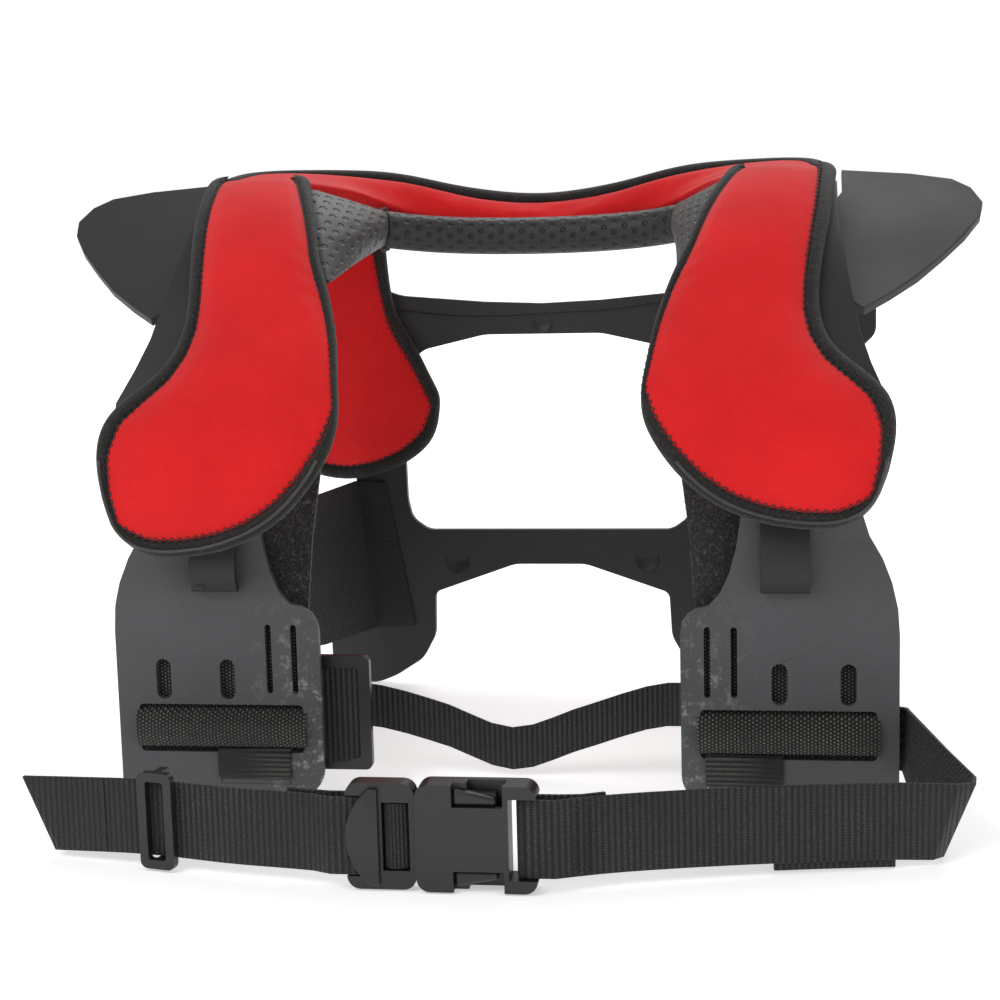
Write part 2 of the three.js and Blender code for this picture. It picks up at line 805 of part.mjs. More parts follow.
function shoulderShell(side) {
  const backLength = (1 - crestShare) * saddleLength;
  const rows = SHELL_WALK.map((r) => ({
    along: r.along * LOBE_LENGTH,
    inner: LOBE_INNER + r.inner * LOBE_WIDTH,
    outer: LOBE_INNER + r.outer * LOBE_WIDTH,
    sink: 0,
  }));
  SHELL_BACK_WALK.forEach((r) =>
    rows.push({
      along: -r.reach * backLength,
      inner: SHELL_BACK_INNER,
      outer: SHELL_BACK_OUTER,
      sink: r.sink * SHELL_SINK,
    }),
  );
  const grid = (lift) =>
    rows.map((row) =>
      steps(4).map((v) => {
        const x = side.sign * mix(row.inner, row.outer, v);
        return onSaddle(x, row.along, lift - row.sink);
      }),
    );
  return slab(grid(-SHELL_SEAT), grid(-SHELL_SEAT - SHELL_THICK));
}

// Wings

function wing(side) {
  const shape = new THREE.Shape(
    WING_EDGE.map((r) => new THREE.Vector2(r.out * WING_SPAN, -r.down * WING_LENGTH)),
  );
  const geometry = plate(shape, WING_THICK);
  geometry.rotateX(THREE.MathUtils.degToRad(-WING_LEAN));
  geometry.translate(WING_ROOT, WING_DEPTH, WING_TOP);
  return side.sign > 0 ? geometry : mirrored(geometry);
}

function mirrored(geometry) {
  const source = geometry.index ? geometry.toNonIndexed() : geometry;
  const position = source.getAttribute("position");
  const points = [];
  for (let i = 0; i < position.count; i++) {
    points.push(-position.getX(i), position.getY(i), position.getZ(i));
  }
  const faces = [];
  for (let i = 0; i < position.count; i += 3) faces.push(i, i + 2, i + 1);
  const turned = new THREE.BufferGeometry();
  turned.setAttribute("position", new THREE.Float32BufferAttribute(points, 3));
  turned.setIndex(faces);
  turned.computeVertexNormals();
  return turned;
}

// Back plate

function backPlateOutline() {
  const shape = new THREE.Shape();
  const half = [
    [0, BAR_TOP],
    [BAR_HALF, BAR_TOP + BAR_RISE],
    [RAIL_INNER, BAR_TOP + 4 * BAR_RISE],
    [RAIL_OUTER, BACK_TOP],
    [ARM_HALF - BACK_CORNER, BACK_TOP],
    [ARM_HALF, BACK_TOP - BACK_CORNER],
    [ARM_HALF, ARM_FOOT + BACK_CORNER],
    [ARM_HALF - BACK_CORNER, ARM_FOOT],
    [RAIL_OUTER + BACK_CORNER / 2, ARM_FOOT - BACK_CORNER],
    [RAIL_OUTER, ARM_FOOT - 2.5 * BACK_CORNER],
    [RAIL_OUTER, LOW_BAR_TOP + BACK_CORNER],
    [LEG_OUTER - BACK_CORNER / 2, LOW_BAR_FOOT],
    [LEG_OUTER, LEG_KNEE - BACK_CORNER],
    [LEG_OUTER, BACK_CORNER / 2],
    [LEG_OUTER - BACK_CORNER / 2, 0],
    [FOOT_INNER, 0],
    [mix(LEG_INNER, FOOT_INNER, 0.7), 0.08 * LEG_KNEE],
    [mix(LEG_INNER, FOOT_INNER, 0.25), 0.27 * LEG_KNEE],
    [LEG_INNER + 1, 0.53 * LEG_KNEE],
    [LEG_INNER, LEG_KNEE],
    [LOW_BAR_HALF, LOW_BAR_FOOT],
  ];
  shape.moveTo(...half[0]);
  half.slice(1).forEach(([x, z]) => shape.lineTo(-x, z));
  half
    .slice(1)
    .reverse()
    .forEach(([x, z]) => shape.lineTo(x, z));
  const gap = new THREE.Path();
  const inner = [
    [BAR_HALF, BAR_FOOT],
    [RAIL_INNER - 1.25 * BACK_CORNER, BAR_FOOT - 0.9 * BACK_CORNER],
    [RAIL_INNER - 0.25 * BACK_CORNER, BAR_FOOT - 1.75 * BACK_CORNER],
    [RAIL_INNER + 0.25 * BACK_CORNER, BAR_FOOT - 3.25 * BACK_CORNER],
    [RAIL_INNER + 0.25 * BACK_CORNER, LOW_BAR_TOP + 2 * BACK_CORNER],
    [RAIL_INNER, LOW_BAR_TOP + 0.75 * BACK_CORNER],
    [RAIL_INNER - BACK_CORNER, LOW_BAR_TOP],
  ];
  gap.moveTo(-inner[0][0], inner[0][1]);
  inner.forEach(([x, z]) => gap.lineTo(x, z));
  inner
    .slice(1)
    .reverse()
    .forEach(([x, z]) => gap.lineTo(-x, z));
  shape.holes.push(gap);
  return shape;
}

// Leans a flat plate: y follows the back face
function leanBack(geometry) {
  const position = geometry.getAttribute("position");
  for (let i = 0; i < position.count; i++) {
    position.setY(i, position.getY(i) + backFaceAt(position.getZ(i)));
  }
  geometry.computeVertexNormals();
  return geometry;
}

function backPlate() {
  return leanBack(plate(backPlateOutline(), BACK_THICK));
}

// Chest plates

// Depth of the chest plate's front face at a height
function plateFaceAt(z) {
  const topAlong = alongAtHeight(PLATE_TOP);
  const top = onSaddle(0, topAlong, -SHELL_SEAT - SHELL_THICK - PLATE_CLEAR).y;
  if (z <= PLATE_FLAT) return PLATE_FACE;
  const share = (z - PLATE_FLAT) / (PLATE_TOP - PLATE_FLAT);
  const hollow = PLATE_HOLLOW * Math.sin(Math.PI * share);
  return mix(PLATE_FACE, top, share * share) + hollow;
}

function chestOutline() {
  const shape = new THREE.Shape();
  const r = PLATE_CORNER;
  shape.moveTo(PLATE_INNER + r, 0);
  shape.lineTo(PLATE_OUTER - r / 2, 0);
  shape.absarc(PLATE_OUTER - r / 2, r / 2, r / 2, -Math.PI / 2, 0, false);
  shape.lineTo(PLATE_OUTER, PLATE_SHOULDER - 12);
  shape.quadraticCurveTo(PLATE_OUTER, PLATE_SHOULDER + 10, PLATE_OUTER - 12, PLATE_SHOULDER + 28);
  shape.lineTo(PLATE_OUTER - 26, PLATE_TOP);
  shape.lineTo(PLATE_NECK + 6, PLATE_TOP);
  shape.lineTo(PLATE_NECK, PLATE_SHOULDER + 36);
  shape.quadraticCurveTo(PLATE_NECK - 3, PLATE_SHOULDER + 8, PLATE_INNER + 12, PLATE_SHOULDER);
  shape.quadraticCurveTo(PLATE_INNER, PLATE_SHOULDER - 2, PLATE_INNER, PLATE_SHOULDER - 12);
  shape.lineTo(PLATE_INNER, r);
  shape.absarc(PLATE_INNER + r, r, r, Math.PI, Math.PI * 1.5, false);
  return shape;
}

// A cutter through the plate, whatever its bend
function plateCutter(shape) {
  const geometry = plate(shape, 60);
  geometry.translate(0, PLATE_FACE - 30, 0);
  return toSolid(geometry);
}

function chestPlate(side) {
  const heights = [-5, PLATE_FLAT, ...steps(6).slice(1).map((s) => mix(PLATE_FLAT, PLATE_TOP, s))];
  heights.push(PLATE_TOP + 5);
  const grid = (offset) =>
    heights.map((z) =>
      steps(1).map((v) => {
        const x = mix(PLATE_INNER - 5, PLATE_OUTER + 5, v);
        return new THREE.Vector3(x, plateFaceAt(Math.min(z, PLATE_TOP)) + offset, z);
      }),
    );
  let solid = toSolid(slab(grid(0), grid(PLATE_THICK))).intersect(plateCutter(chestOutline()));
  for (const x of SLOT_PLACES) {
    const low = SLOT_MIDDLE - SLOT_HEIGHT / 2;
    const slot = roundedRect(x - SLOT_WIDTH / 2, low, SLOT_WIDTH, SLOT_HEIGHT, SLOT_WIDTH);
    solid = solid.subtract(plateCutter(slot));
  }
  for (const x of OVAL_PLACES) {
    const low = OVAL_MIDDLE - OVAL_HEIGHT / 2;
    const oval = roundedRect(x - OVAL_WIDTH / 2, low, OVAL_WIDTH, OVAL_HEIGHT, OVAL_WIDTH);
    solid = solid.subtract(plateCutter(oval));
  }
  const wide = roundedRect(WIDE_SLOT_INNER, WIDE_SLOT_FOOT, WIDE_SLOT_WIDTH, WIDE_SLOT_HEIGHT, 2);
  const low = roundedRect(WIDE_SLOT_INNER, LOW_SLOT_FOOT, LOW_SLOT_WIDTH, LOW_SLOT_HEIGHT, 2);
  solid = solid.subtract(plateCutter(wide)).subtract(plateCutter(low));
  const geometry = toGeometry(solid);
  return side.sign > 0 ? geometry : mirrored(geometry);
}

// Wide webbing that bulges out through the chest plate's wide slot
function slotStrap(side) {
  const top = WIDE_SLOT_FOOT + WIDE_SLOT_HEIGHT;
  const rear = PLATE_FACE + PLATE_THICK + GAP + WEB_THICK / 2;
  const inner = WIDE_SLOT_INNER + 1;
  const outer = WIDE_SLOT_INNER + WIDE_SLOT_WIDTH - 1;
  const path = [
    { y: rear + 1, z: top + 34 },
    { y: rear, z: top + 16 },
    { y: rear, z: top - 0.4 },
    { y: rear - 1.8, z: top - 2.6 },
    { y: PLATE_FACE - 0.8, z: top - 4 },
    { y: PLATE_FACE - 2.6, z: mix(top, WIDE_SLOT_FOOT, 0.35) },
    { y: PLATE_FACE - 2.8, z: mix(top, WIDE_SLOT_FOOT, 0.62) },
    { y: PLATE_FACE - 0.8, z: WIDE_SLOT_FOOT + 4.2 },
    { y: PLATE_FACE + 1.8, z: WIDE_SLOT_FOOT + 3.8 },
    { y: rear + 1.7, z: WIDE_SLOT_FOOT + 3.4 },
    { y: rear + 2.6, z: WIDE_SLOT_FOOT - 2 },
  ];
  const stations = path.map((p) => ({
    upper: new THREE.Vector3(side.sign * inner, p.y, p.z),
    lower: new THREE.Vector3(side.sign * outer, p.y, p.z),
  }));
  return ribbon(stations, WEB_THICK);
}

// Narrow webbing looped round the bar between the wide slot and the low slot
function slotLoop(side) {
  const low = LOW_SLOT_FOOT + LOW_SLOT_HEIGHT;
  const inner = WIDE_SLOT_INNER + side.loopInset;
  const halfThick = WEB_THICK / 2;
  const reach = GAP + halfThick;
  const front = PLATE_FACE - reach;
  const rear = PLATE_FACE + PLATE_THICK + reach;
  const foot = low - reach;
  const top = WIDE_SLOT_FOOT + reach;
  const corner = halfThick + 0.3;
  const turn = [
    [front, top - corner],
    [front + corner, top],
    [rear - corner, top],
    [rear, top - corner],
    [rear, foot + corner],
    [rear - corner, foot],
    [front + corner, foot],
    [front, foot + corner],
  ];
  const centre = new THREE.Vector2((front + rear) / 2, (top + foot) / 2);
  const rings = turn.map(([y, z], i) => {
    const before = turn[(i + turn.length - 1) % turn.length];
    const after = turn[(i + 1) % turn.length];
    const along = new THREE.Vector2(after[0] - before[0], after[1] - before[1]).normalize();
    const out = new THREE.Vector2(along.y, -along.x);
    if (out.dot(new THREE.Vector2(y, z).sub(centre)) < 0) out.negate();
    out.multiplyScalar(halfThick);
    const at = (x, s) => new THREE.Vector3(side.sign * x, y + s * out.x, z + s * out.y);
    return [at(inner, 1), at(inner + LOOP_WIDTH, 1), at(inner + LOOP_WIDTH, -1), at(inner, -1)];
  });
  return loft(rings, true);
}

// Clip tongue: comes out from under the lobe and hooks in to the chest plate
function clipTongue(side) {
  const root = TONGUE_FOOT + TONGUE_RISE;
  const path = [
    { stand: 0, z: root },
    { stand: 0.55, z: mix(root, TONGUE_FOOT, 0.3) },
    { stand: 1, z: mix(root, TONGUE_FOOT, 0.6) },
    { stand: 0.9, z: mix(root, TONGUE_FOOT, 0.85) },
    { stand: 0.45, z: mix(root, TONGUE_FOOT, 0.98) },
    { stand: 0, z: TONGUE_FOOT },
  ];
  const stations = path.map((p) => {
    const y = plateFaceAt(p.z) - GAP - TONGUE_THICK / 2 - 0.4 - p.stand * TONGUE_STAND;
    const x = side.sign * TONGUE_PLACE;
    return {
      upper: new THREE.Vector3(x - TONGUE_WIDTH / 2, y, p.z),
      lower: new THREE.Vector3(x + TONGUE_WIDTH / 2, y, p.z),
    };
  });
  return ribbon(stations, TONGUE_THICK);
}

// Straps

// Rows are placed from the chest plate's inner edge and from the space behind the plate
function hookLoopStrap(side) {
  const behind = PLATE_FACE + PLATE_THICK + GAP + WEB_THICK;
  const stations = HOOK_LOOP_WALK.map((r) => {
    const x = PLATE_INNER + r.out;
    const y = behind + r.back;
    return {
      upper: new THREE.Vector3(side.sign * x, y, r.height),
      lower: new THREE.Vector3(side.sign * (x + HOOK_LOOP_WIDTH), y - 1, r.height),
    };
  });
  return ribbon(stations, HOOK_LOOP_THICK);
}

// Wide woven strap from the back plate's rail forwards to the chest plate
function sideStrap(side) {
  const rear = (z) => backFaceAt(z) - GAP - WEB_THICK / 2;
  const front = PLATE_FACE + PLATE_THICK + SIDE_STRAP_CLEAR;
  const at = (out, z, forward) =>
    new THREE.Vector3(side.sign * (RAIL_INNER + out), mix(rear(z), front, forward), z);
  const stations = SIDE_STRAP_WALK.map((r) => ({
    upper: at(r.out + r.tilt, r.top, r.forward),
    lower: at(r.out, r.foot, r.forward),
  }));
  return ribbon(stations, WEB_THICK);
}

// Narrow webbing that sags between the two chest plates
function crossStrap() {
  const behind = PLATE_FACE + PLATE_THICK;
  const curveOf = (pick) =>
    new THREE.CatmullRomCurve3(
      CROSS_WALK.map((r) => new THREE.Vector3(r.across * PLATE_INNER, behind + r.back, pick(r))),
    );
  const tops = curveOf((r) => r.foot + CROSS_WIDTH);
  const feet = curveOf((r) => r.foot);
  const stations = steps(20).map((t) => ({ upper: tops.getPoint(t), lower: feet.getPoint(t) }));
  return ribbon(stations, WEB_THICK);
}

// Ladder lock behind the chest plate's inner edge
function ladderLock() {
  const x = PLATE_INNER - LOCK_SHOW;
  const y = PLATE_FACE + PLATE_THICK + LOCK_BACK;
  const frame = toSolid(plate(roundedRect(x, LOCK_FOOT, LOCK_WIDTH, LOCK_HEIGHT, 3), LOCK_THICK));
  const inner = roundedRect(
    x + LOCK_RIM,
    LOCK_FOOT + LOCK_RIM,
    LOCK_WIDTH - 2 * LOCK_RIM,
    LOCK_HEIGHT - 2 * LOCK_RIM,
    2,
  );
  const window = toSolid(plate(inner, 20)).translate(0, -5, 0);
  const solid = frame.subtract(window).translate(0, y, 0);
  return mirrored(toGeometry(solid));
}

// Front belt, buckle and tri-glide

const beltMiddleY = BUCKLE_FACE + BUCKLE_THICK / 2;
const buckleLeft = BUCKLE_MIDDLE - BUCKLE_LENGTH / 2;
const buckleRight = BUCKLE_MIDDLE + BUCKLE_LENGTH / 2;
const buckleSplit = mix(buckleLeft, buckleRight, MALE_SHARE);
const maleBar = buckleLeft + BAR_INSET + BAR_WIDTH / 2;
const femaleBar = buckleRight - BAR_INSET - BAR_WIDTH / 2;
const loopRadius = BAR_WIDTH * Math.SQRT1_2 + GAP + WEB_THICK / 2;
const webFoot = (BUCKLE_HEIGHT - WEB_WIDTH) / 2;

// How deep a belt line lies at a place across, between two of its stations
function depthAt(line, x) {
  const next = line.findIndex((p) => Math.abs(p.x) >= Math.abs(x));
  if (next < 1) return line[0].y;
  const near = line[next - 1];
  const far = line[next];
  return mix(near.y, far.y, (x - near.x) / (far.x - near.x));
}

// The belt's turn round a buckle bar, from the short rear layer to the front layer
function barTurn(barX, sign, line) {
  const turn = steps(6).map((s) => {
    const angle = Math.PI / 2 - Math.PI * s;
    return {
      x: barX - sign * loopRadius * Math.cos(angle),
      y: beltMiddleY + loopRadius * Math.sin(angle),
      foot: webFoot,
    };
  });
  const rearY = beltMiddleY + loopRadius;
  const tail = [1, 0.7, 0.4].map((share) => {
    const x = barX + sign * share * LOOP_TAIL;
    return { x, y: Math.max(rearY, depthAt(line, x) + LAYER_STEP), foot: webFoot };
  });
  return [...tail, ...turn];
}

// The belt line from the bar outwards, smooth through its rows
function beltRun(barX, rows, sign) {
  const start = new THREE.Vector3(barX + sign * 10, beltMiddleY - loopRadius, webFoot);
  const face = beltMiddleY - loopRadius;
  const points = rows.map(
    (r) => new THREE.Vector3(r.across * BELT_SPAN, face + r.back * BELT_BOW, r.lift * BELT_LIFT),
  );
  const curve = new THREE.CatmullRomCurve3([start, ...points]);
  return steps(14).map((t) => {
    const p = curve.getPointAt(t);
    return { x: p.x, y: p.y, foot: p.z };
  });
}

const leftLine = beltRun(maleBar, BELT_LEFT, -1);
const rightLine = beltRun(femaleBar, BELT_RIGHT, 1);

function stationsOf(line) {
  return line.map((p) => ({
    upper: new THREE.Vector3(p.x, p.y, p.foot + WEB_WIDTH),
    lower: new THREE.Vector3(p.x, p.y, p.foot),
  }));
}

// Left belt with its slanted free end
function beltLeft() {
  const stations = stationsOf([...barTurn(maleBar, -1, leftLine), ...leftLine]);
  const end = stations[stations.length - 1];
  end.upper.x -= BELT_SLANT;
  end.lower.x += BELT_SLANT;
  return ribbon(stations, WEB_THICK);
}

// Right belt: at its end it turns back behind the chest plate
function beltRight() {
  const stations = stationsOf([...barTurn(femaleBar, 1, rightLine), ...rightLine]);
  const from = rightLine[rightLine.length - 1].y;
  const rear = PLATE_FACE + PLATE_THICK + RETURN_CLEAR;
  for (const r of BELT_RETURN) {
    const y = mix(from, rear, r.back);
    stations.push({
      upper: new THREE.Vector3(r.topOut * BELT_SPAN, y, r.top),
      lower: new THREE.Vector3(r.footOut * BELT_SPAN, y - r.fold, r.foot),
    });
  }
  return ribbon(stations, WEB_THICK);
}

// Short second layer sewn behind the right belt, a little lower than it
function beltTail() {
  const kept = rightLine.filter((p) => p.x > TAIL_FROM && p.x < TAIL_TO);
  const line = kept.map((p) => ({ x: p.x, y: p.y + WEB_THICK + GAP, foot: p.foot - TAIL_DROP }));
  return ribbon(stationsOf(line), WEB_THICK);
}

function triGlide() {
  const target = -GLIDE_PLACE * BELT_SPAN;
  const nearer = (a, b) => (Math.abs(b.x - target) < Math.abs(a.x - target) ? b : a);
  const place = leftLine.reduce(nearer);
  const index = leftLine.indexOf(place);
  const before = leftLine[index - 1];
  const after = leftLine[index + 1];
  const turn = Math.atan2(before.y - after.y, before.x - after.x);
  const half = GLIDE_WIDTH / 2;
  const clear = WEB_THICK / 2 + GLIDE_CLEAR;
  const foot = -GLIDE_CLEAR - GLIDE_BAR;
  const top = WEB_WIDTH + GLIDE_CLEAR + GLIDE_BAR;
  const outline = roundedRect(-half, foot, GLIDE_WIDTH, top - foot, 3);
  const width = GLIDE_WIDTH - 2 * GLIDE_BAR;
  outline.holes.push(roundedRect(-width / 2, -GLIDE_CLEAR, width, WEB_WIDTH + 2 * GLIDE_CLEAR, 1));
  const front = toSolid(plate(outline, GLIDE_THICK)).translate(0, -clear - GLIDE_THICK, 0);
  const barHalf = GLIDE_BAR / 2;
  const rearBar = block([-barHalf, clear, foot], [barHalf, clear + GLIDE_THICK, top]);
  const upper = block([-barHalf, -clear - 1, WEB_WIDTH + GLIDE_CLEAR], [barHalf, clear + 1, top]);
  const lower = block([-barHalf, -clear - 1, foot], [barHalf, clear + 1, -GLIDE_CLEAR]);
  const geometry = toGeometry(front.add(rearBar).add(upper).add(lower));
  geometry.rotateZ(turn);
  geometry.translate(place.x, place.y, place.foot);
  return geometry;
}

// The space either side of a bar that the webbing turns round, cut out of a buckle half
function barRoom(barX, outerX) {
  const low = webFoot - WEB_CLEAR;
  const high = webFoot + WEB_WIDTH + WEB_CLEAR;
  const half = BAR_WIDTH / 2;
  const sign = Math.sign(outerX - barX);
  const box = (x0, x1, y0, y1) =>
    block([Math.min(x0, x1), beltMiddleY + y0, low], [Math.max(x0, x1), beltMiddleY + y1, high]);
  const inside = barX - sign * half;
  const beyond = outerX + sign;
  return box(inside, inside - sign * BAR_SLOT, -BUCKLE_THICK, BUCKLE_THICK)
    .add(box(barX + sign * half, beyond, -BUCKLE_THICK, BUCKLE_THICK))
    .add(box(inside - sign, beyond, -BUCKLE_THICK, -half))
    .add(box(inside - sign, beyond, half, BUCKLE_THICK));
}

function buckleMale() {
  const shape = roundedRect(buckleLeft, 0, buckleSplit - GAP - buckleLeft, BUCKLE_HEIGHT, BUCKLE_CORNER);
  const thick = BUCKLE_THICK * MALE_THICK_SHARE;
  const body = toSolid(plate(shape, thick)).translate(0, beltMiddleY - thick / 2, 0);
  const half = ARM_THICK / 2;
  const reach = mix(buckleSplit, buckleRight, ARM_REACH);
  const arm = (z) =>
    block([buckleSplit - ARM_HEIGHT, beltMiddleY - half, z], [reach, beltMiddleY + half, z + ARM_HEIGHT]);
  const solid = body
    .subtract(barRoom(maleBar, buckleLeft))
    .add(arm(ARM_INSET))
    .add(arm(BUCKLE_HEIGHT - ARM_INSET - ARM_HEIGHT))
    .add(arm((BUCKLE_HEIGHT - ARM_HEIGHT) / 2));
  return toGeometry(solid);
}

function buckleFemale() {
  const width = buckleRight - buckleSplit;
  const shape = roundedRect(buckleSplit, 0, width, BUCKLE_HEIGHT, BUCKLE_CORNER);
  const body = toSolid(plate(shape, BUCKLE_THICK)).translate(0, BUCKLE_FACE, 0);
  const half = ARM_THICK / 2 + ARM_CLEAR;
  const wall = ARM_INSET - 2 * ARM_CLEAR;
  const depth = femaleBar - BAR_WIDTH / 2 - BAR_SLOT - 2.5;
  const mouth = block(
    [buckleSplit - 1, beltMiddleY - half, wall],
    [depth, beltMiddleY + half, BUCKLE_HEIGHT - wall],
  );
  const sideWindow = (low, high) =>
    block(
      [buckleSplit + WINDOW_FROM * width, beltMiddleY - half, low],
      [buckleSplit + WINDOW_TO * width, beltMiddleY + half, high],
    );
  const solid = body
    .subtract(mouth)
    .subtract(barRoom(femaleBar, buckleRight))
    .subtract(sideWindow(-1, ARM_INSET + 1))
    .subtract(sideWindow(BUCKLE_HEIGHT - ARM_INSET - 1, BUCKLE_HEIGHT + 1));
  return toGeometry(solid);
}

// Materials

const RED_CLOTH = { color: 0xe02020, roughness: 0.95, metalness: 0 };
const BLACK_CLOTH = { color: 0x1c1b1b, roughness: 0.95, metalness: 0 };
const BLACK_PLASTIC = { color: 0x2a2a2b, roughness: 0.45, metalness: 0 };
const GREY_PLASTIC = { color: 0x3c3d3f, roughness: 0.5, metalness: 0 };

const brace = new THREE.Group();

function add(name, geometry, look) {
  const mesh = new THREE.Mesh(geometry, new THREE.MeshStandardMaterial(look));
  mesh.name = name;
  brace.add(mesh);
}

for (const side of SIDES) {
  add("front_pad_" + side.name, padSolid(frontEdges, frontPlace(side), LOBE_THICK), RED_CLOTH);
  add("front_binding_" + side.name, bindingSolid(frontEdges, frontPlace(side)), BLACK_CLOTH);
  add("rear_pad_" + side.name, padSolid(rearEdges, rearPlace(side), REAR_THICK), RED_CLOTH);
  add("rear_binding_" + side.name, bindingSolid(rearEdges, rearPlace(side)), BLACK_CLOTH);
  add("neck_wall_" + side.name, neckWall(side), BLACK_CLOTH);
  add("shoulder_shell_" + side.name, shoulderShell(side), BLACK_PLASTIC);
  add("wing_" + side.name, wing(side), BLACK_PLASTIC);
  add("chest_plate_" + side.name, chestPlate(side), GREY_PLASTIC);
  add("clip_tongue_" + side.name, clipTongue(side), BLACK_PLASTIC);
  add("slot_strap_" + side.name, slotStrap(side), BLACK_CLOTH);
  add("slot_loop_" + side.name, slotLoop(side), BLACK_CLOTH);
  add("hook_loop_strap_" + side.name, hookLoopStrap(side), BLACK_CLOTH);
  add("side_strap_" + side.name, sideStrap(side), BLACK_CLOTH);
}
add("ladder_lock", ladderLock(), BLACK_PLASTIC);
add("collar_band", collarBand(), RED_CLOTH);
add("band_binding", bandBinding(), BLACK_CLOTH);
add("neck_roll", neckRoll(), BLACK_CLOTH);
add("back_plate", backPlate(), BLACK_PLASTIC);
add("cross_strap", crossStrap(), BLACK_CLOTH);
add("belt_left", beltLeft(), BLACK_CLOTH);
add("belt_right", beltRight(), BLACK_CLOTH);
add("belt_tail", beltTail(), BLACK_CLOTH);
add("tri_glide", triGlide(), BLACK_PLASTIC);
add("buckle_male", buckleMale(), BLACK_PLASTIC);
add("buckle_female", buckleFemale(), BLACK_PLASTIC);

// The origin is the middle of the brace's bottom
const bounds = new THREE.Box3().setFromObject(brace);
brace.position.set(0, -(bounds.min.y + bounds.max.y) / 2, -bounds.min.z);

const group = new THREE.Group();
group.add(brace);
export default group;
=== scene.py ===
# %% [markdown]
# # Motocross neck brace
# This lesson dresses the solid model of a neck brace: padded red lobes with black bindings, a perforated
# neck roll, moulded plastic shells and plates, and webbing straps with a side-release buckle.
# The solids give every piece its place. We load them first and keep their box, because the dressed
# brace has to stay inside it apart from a little cloth.

import heapq
import json
import math
from contextlib import contextmanager

import bmesh
import bpy
import numpy as np
from mathutils import Matrix, Vector
from mathutils.bvhtree import BVHTree


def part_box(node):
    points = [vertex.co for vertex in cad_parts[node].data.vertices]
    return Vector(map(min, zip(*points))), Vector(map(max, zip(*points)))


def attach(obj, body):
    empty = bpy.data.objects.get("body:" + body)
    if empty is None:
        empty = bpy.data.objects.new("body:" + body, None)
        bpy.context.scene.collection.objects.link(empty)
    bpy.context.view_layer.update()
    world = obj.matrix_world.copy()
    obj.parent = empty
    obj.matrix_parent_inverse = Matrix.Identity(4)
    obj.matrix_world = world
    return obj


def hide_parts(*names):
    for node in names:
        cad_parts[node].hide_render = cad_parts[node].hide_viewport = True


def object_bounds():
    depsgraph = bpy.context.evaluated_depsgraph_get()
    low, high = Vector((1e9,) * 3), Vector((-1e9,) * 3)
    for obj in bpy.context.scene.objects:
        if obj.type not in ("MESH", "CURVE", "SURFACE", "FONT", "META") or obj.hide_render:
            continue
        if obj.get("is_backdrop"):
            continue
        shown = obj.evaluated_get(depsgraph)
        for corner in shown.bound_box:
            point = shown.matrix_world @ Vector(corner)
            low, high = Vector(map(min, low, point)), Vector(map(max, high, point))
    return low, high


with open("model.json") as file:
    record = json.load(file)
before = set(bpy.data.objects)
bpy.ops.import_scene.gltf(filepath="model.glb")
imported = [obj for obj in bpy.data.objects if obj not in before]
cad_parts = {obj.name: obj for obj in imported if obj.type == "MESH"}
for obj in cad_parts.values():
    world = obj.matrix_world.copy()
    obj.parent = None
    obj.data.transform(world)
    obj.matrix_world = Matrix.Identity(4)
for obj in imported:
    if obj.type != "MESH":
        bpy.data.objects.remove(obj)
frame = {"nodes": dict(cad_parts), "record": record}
cad_low, cad_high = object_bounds()
slots = {part["node"]: part["material_slot"] for part in frame["record"]["subparts"]}
SIDES = {"left": -1, "right": 1}
MM = 0.001
size = (cad_high - cad_low) / MM
print(f"solids: {len(slots)}, box {size.x:.0f} x {size.y:.0f} x {size.z:.0f} mm")

# %% [markdown]
# ## Camera
# The picture is taken from in front, a little from the right and slightly above, with a long lens.
# The camera's own axes are worked out from three angles, so that nothing has to be aimed by eye.

# %% Camera
LENS = 74.48
CAMERA_PLACE = Vector((0.1231, -0.8782, 0.268))
CAMERA_TURN = math.radians(8.23)
CAMERA_DIP = math.radians(9.36)
CAMERA_ROLL = math.radians(-1.52)

ahead = Vector(
    (
        -math.sin(CAMERA_TURN) * math.cos(CAMERA_DIP),
        math.cos(CAMERA_TURN) * math.cos(CAMERA_DIP),
        -math.sin(CAMERA_DIP),
    )
)
level = Vector((math.cos(CAMERA_TURN), math.sin(CAMERA_TURN), 0))
upright = level.cross(ahead)
right = math.cos(CAMERA_ROLL) * level + math.sin(CAMERA_ROLL) * upright
above = math.cos(CAMERA_ROLL) * upright - math.sin(CAMERA_ROLL) * level
camera = bpy.data.objects.new("camera", bpy.data.cameras.new("camera"))
camera.data.lens = LENS
axes = Matrix((right, above, -ahead)).transposed().to_4x4()
camera.matrix_world = Matrix.Translation(CAMERA_PLACE) @ axes
bpy.context.scene.collection.objects.link(camera)
bpy.context.scene.camera = camera
print("camera looks along", tuple(round(v, 3) for v in ahead))

# %% [markdown]
# ## Light and floor
# A studio picture on white: one large soft light from the upper left, a weaker one from the right,
# one from behind that draws the edges of the black pieces, and a white floor. The floor gives off a
# little light of its own, more of it further away, so that it stays white up to the horizon. The sky
# is pure white to look at, but lights the brace more softly than that.

# %% Light and floor
SKY_AS_LIGHT, SKY_AS_SEEN = 0.4, 1.0
scene = bpy.context.scene
scene.view_settings.view_transform = "Standard"
world = bpy.data.worlds.new("studio")
world.use_nodes = True
sky = world.node_tree.nodes["Background"]
sky.inputs["Color"].default_value = (1, 1, 1, 1)
seen = world.node_tree.nodes.new("ShaderNodeLightPath").outputs["Is Camera Ray"]
level_of = world.node_tree.nodes.new("ShaderNodeMapRange")
level_of.inputs["To Min"].default_value = SKY_AS_LIGHT
level_of.inputs["To Max"].default_value = SKY_AS_SEEN
world.node_tree.links.new(seen, level_of.inputs["Value"])
world.node_tree.links.new(level_of.outputs[0], sky.inputs["Strength"])
scene.world = world

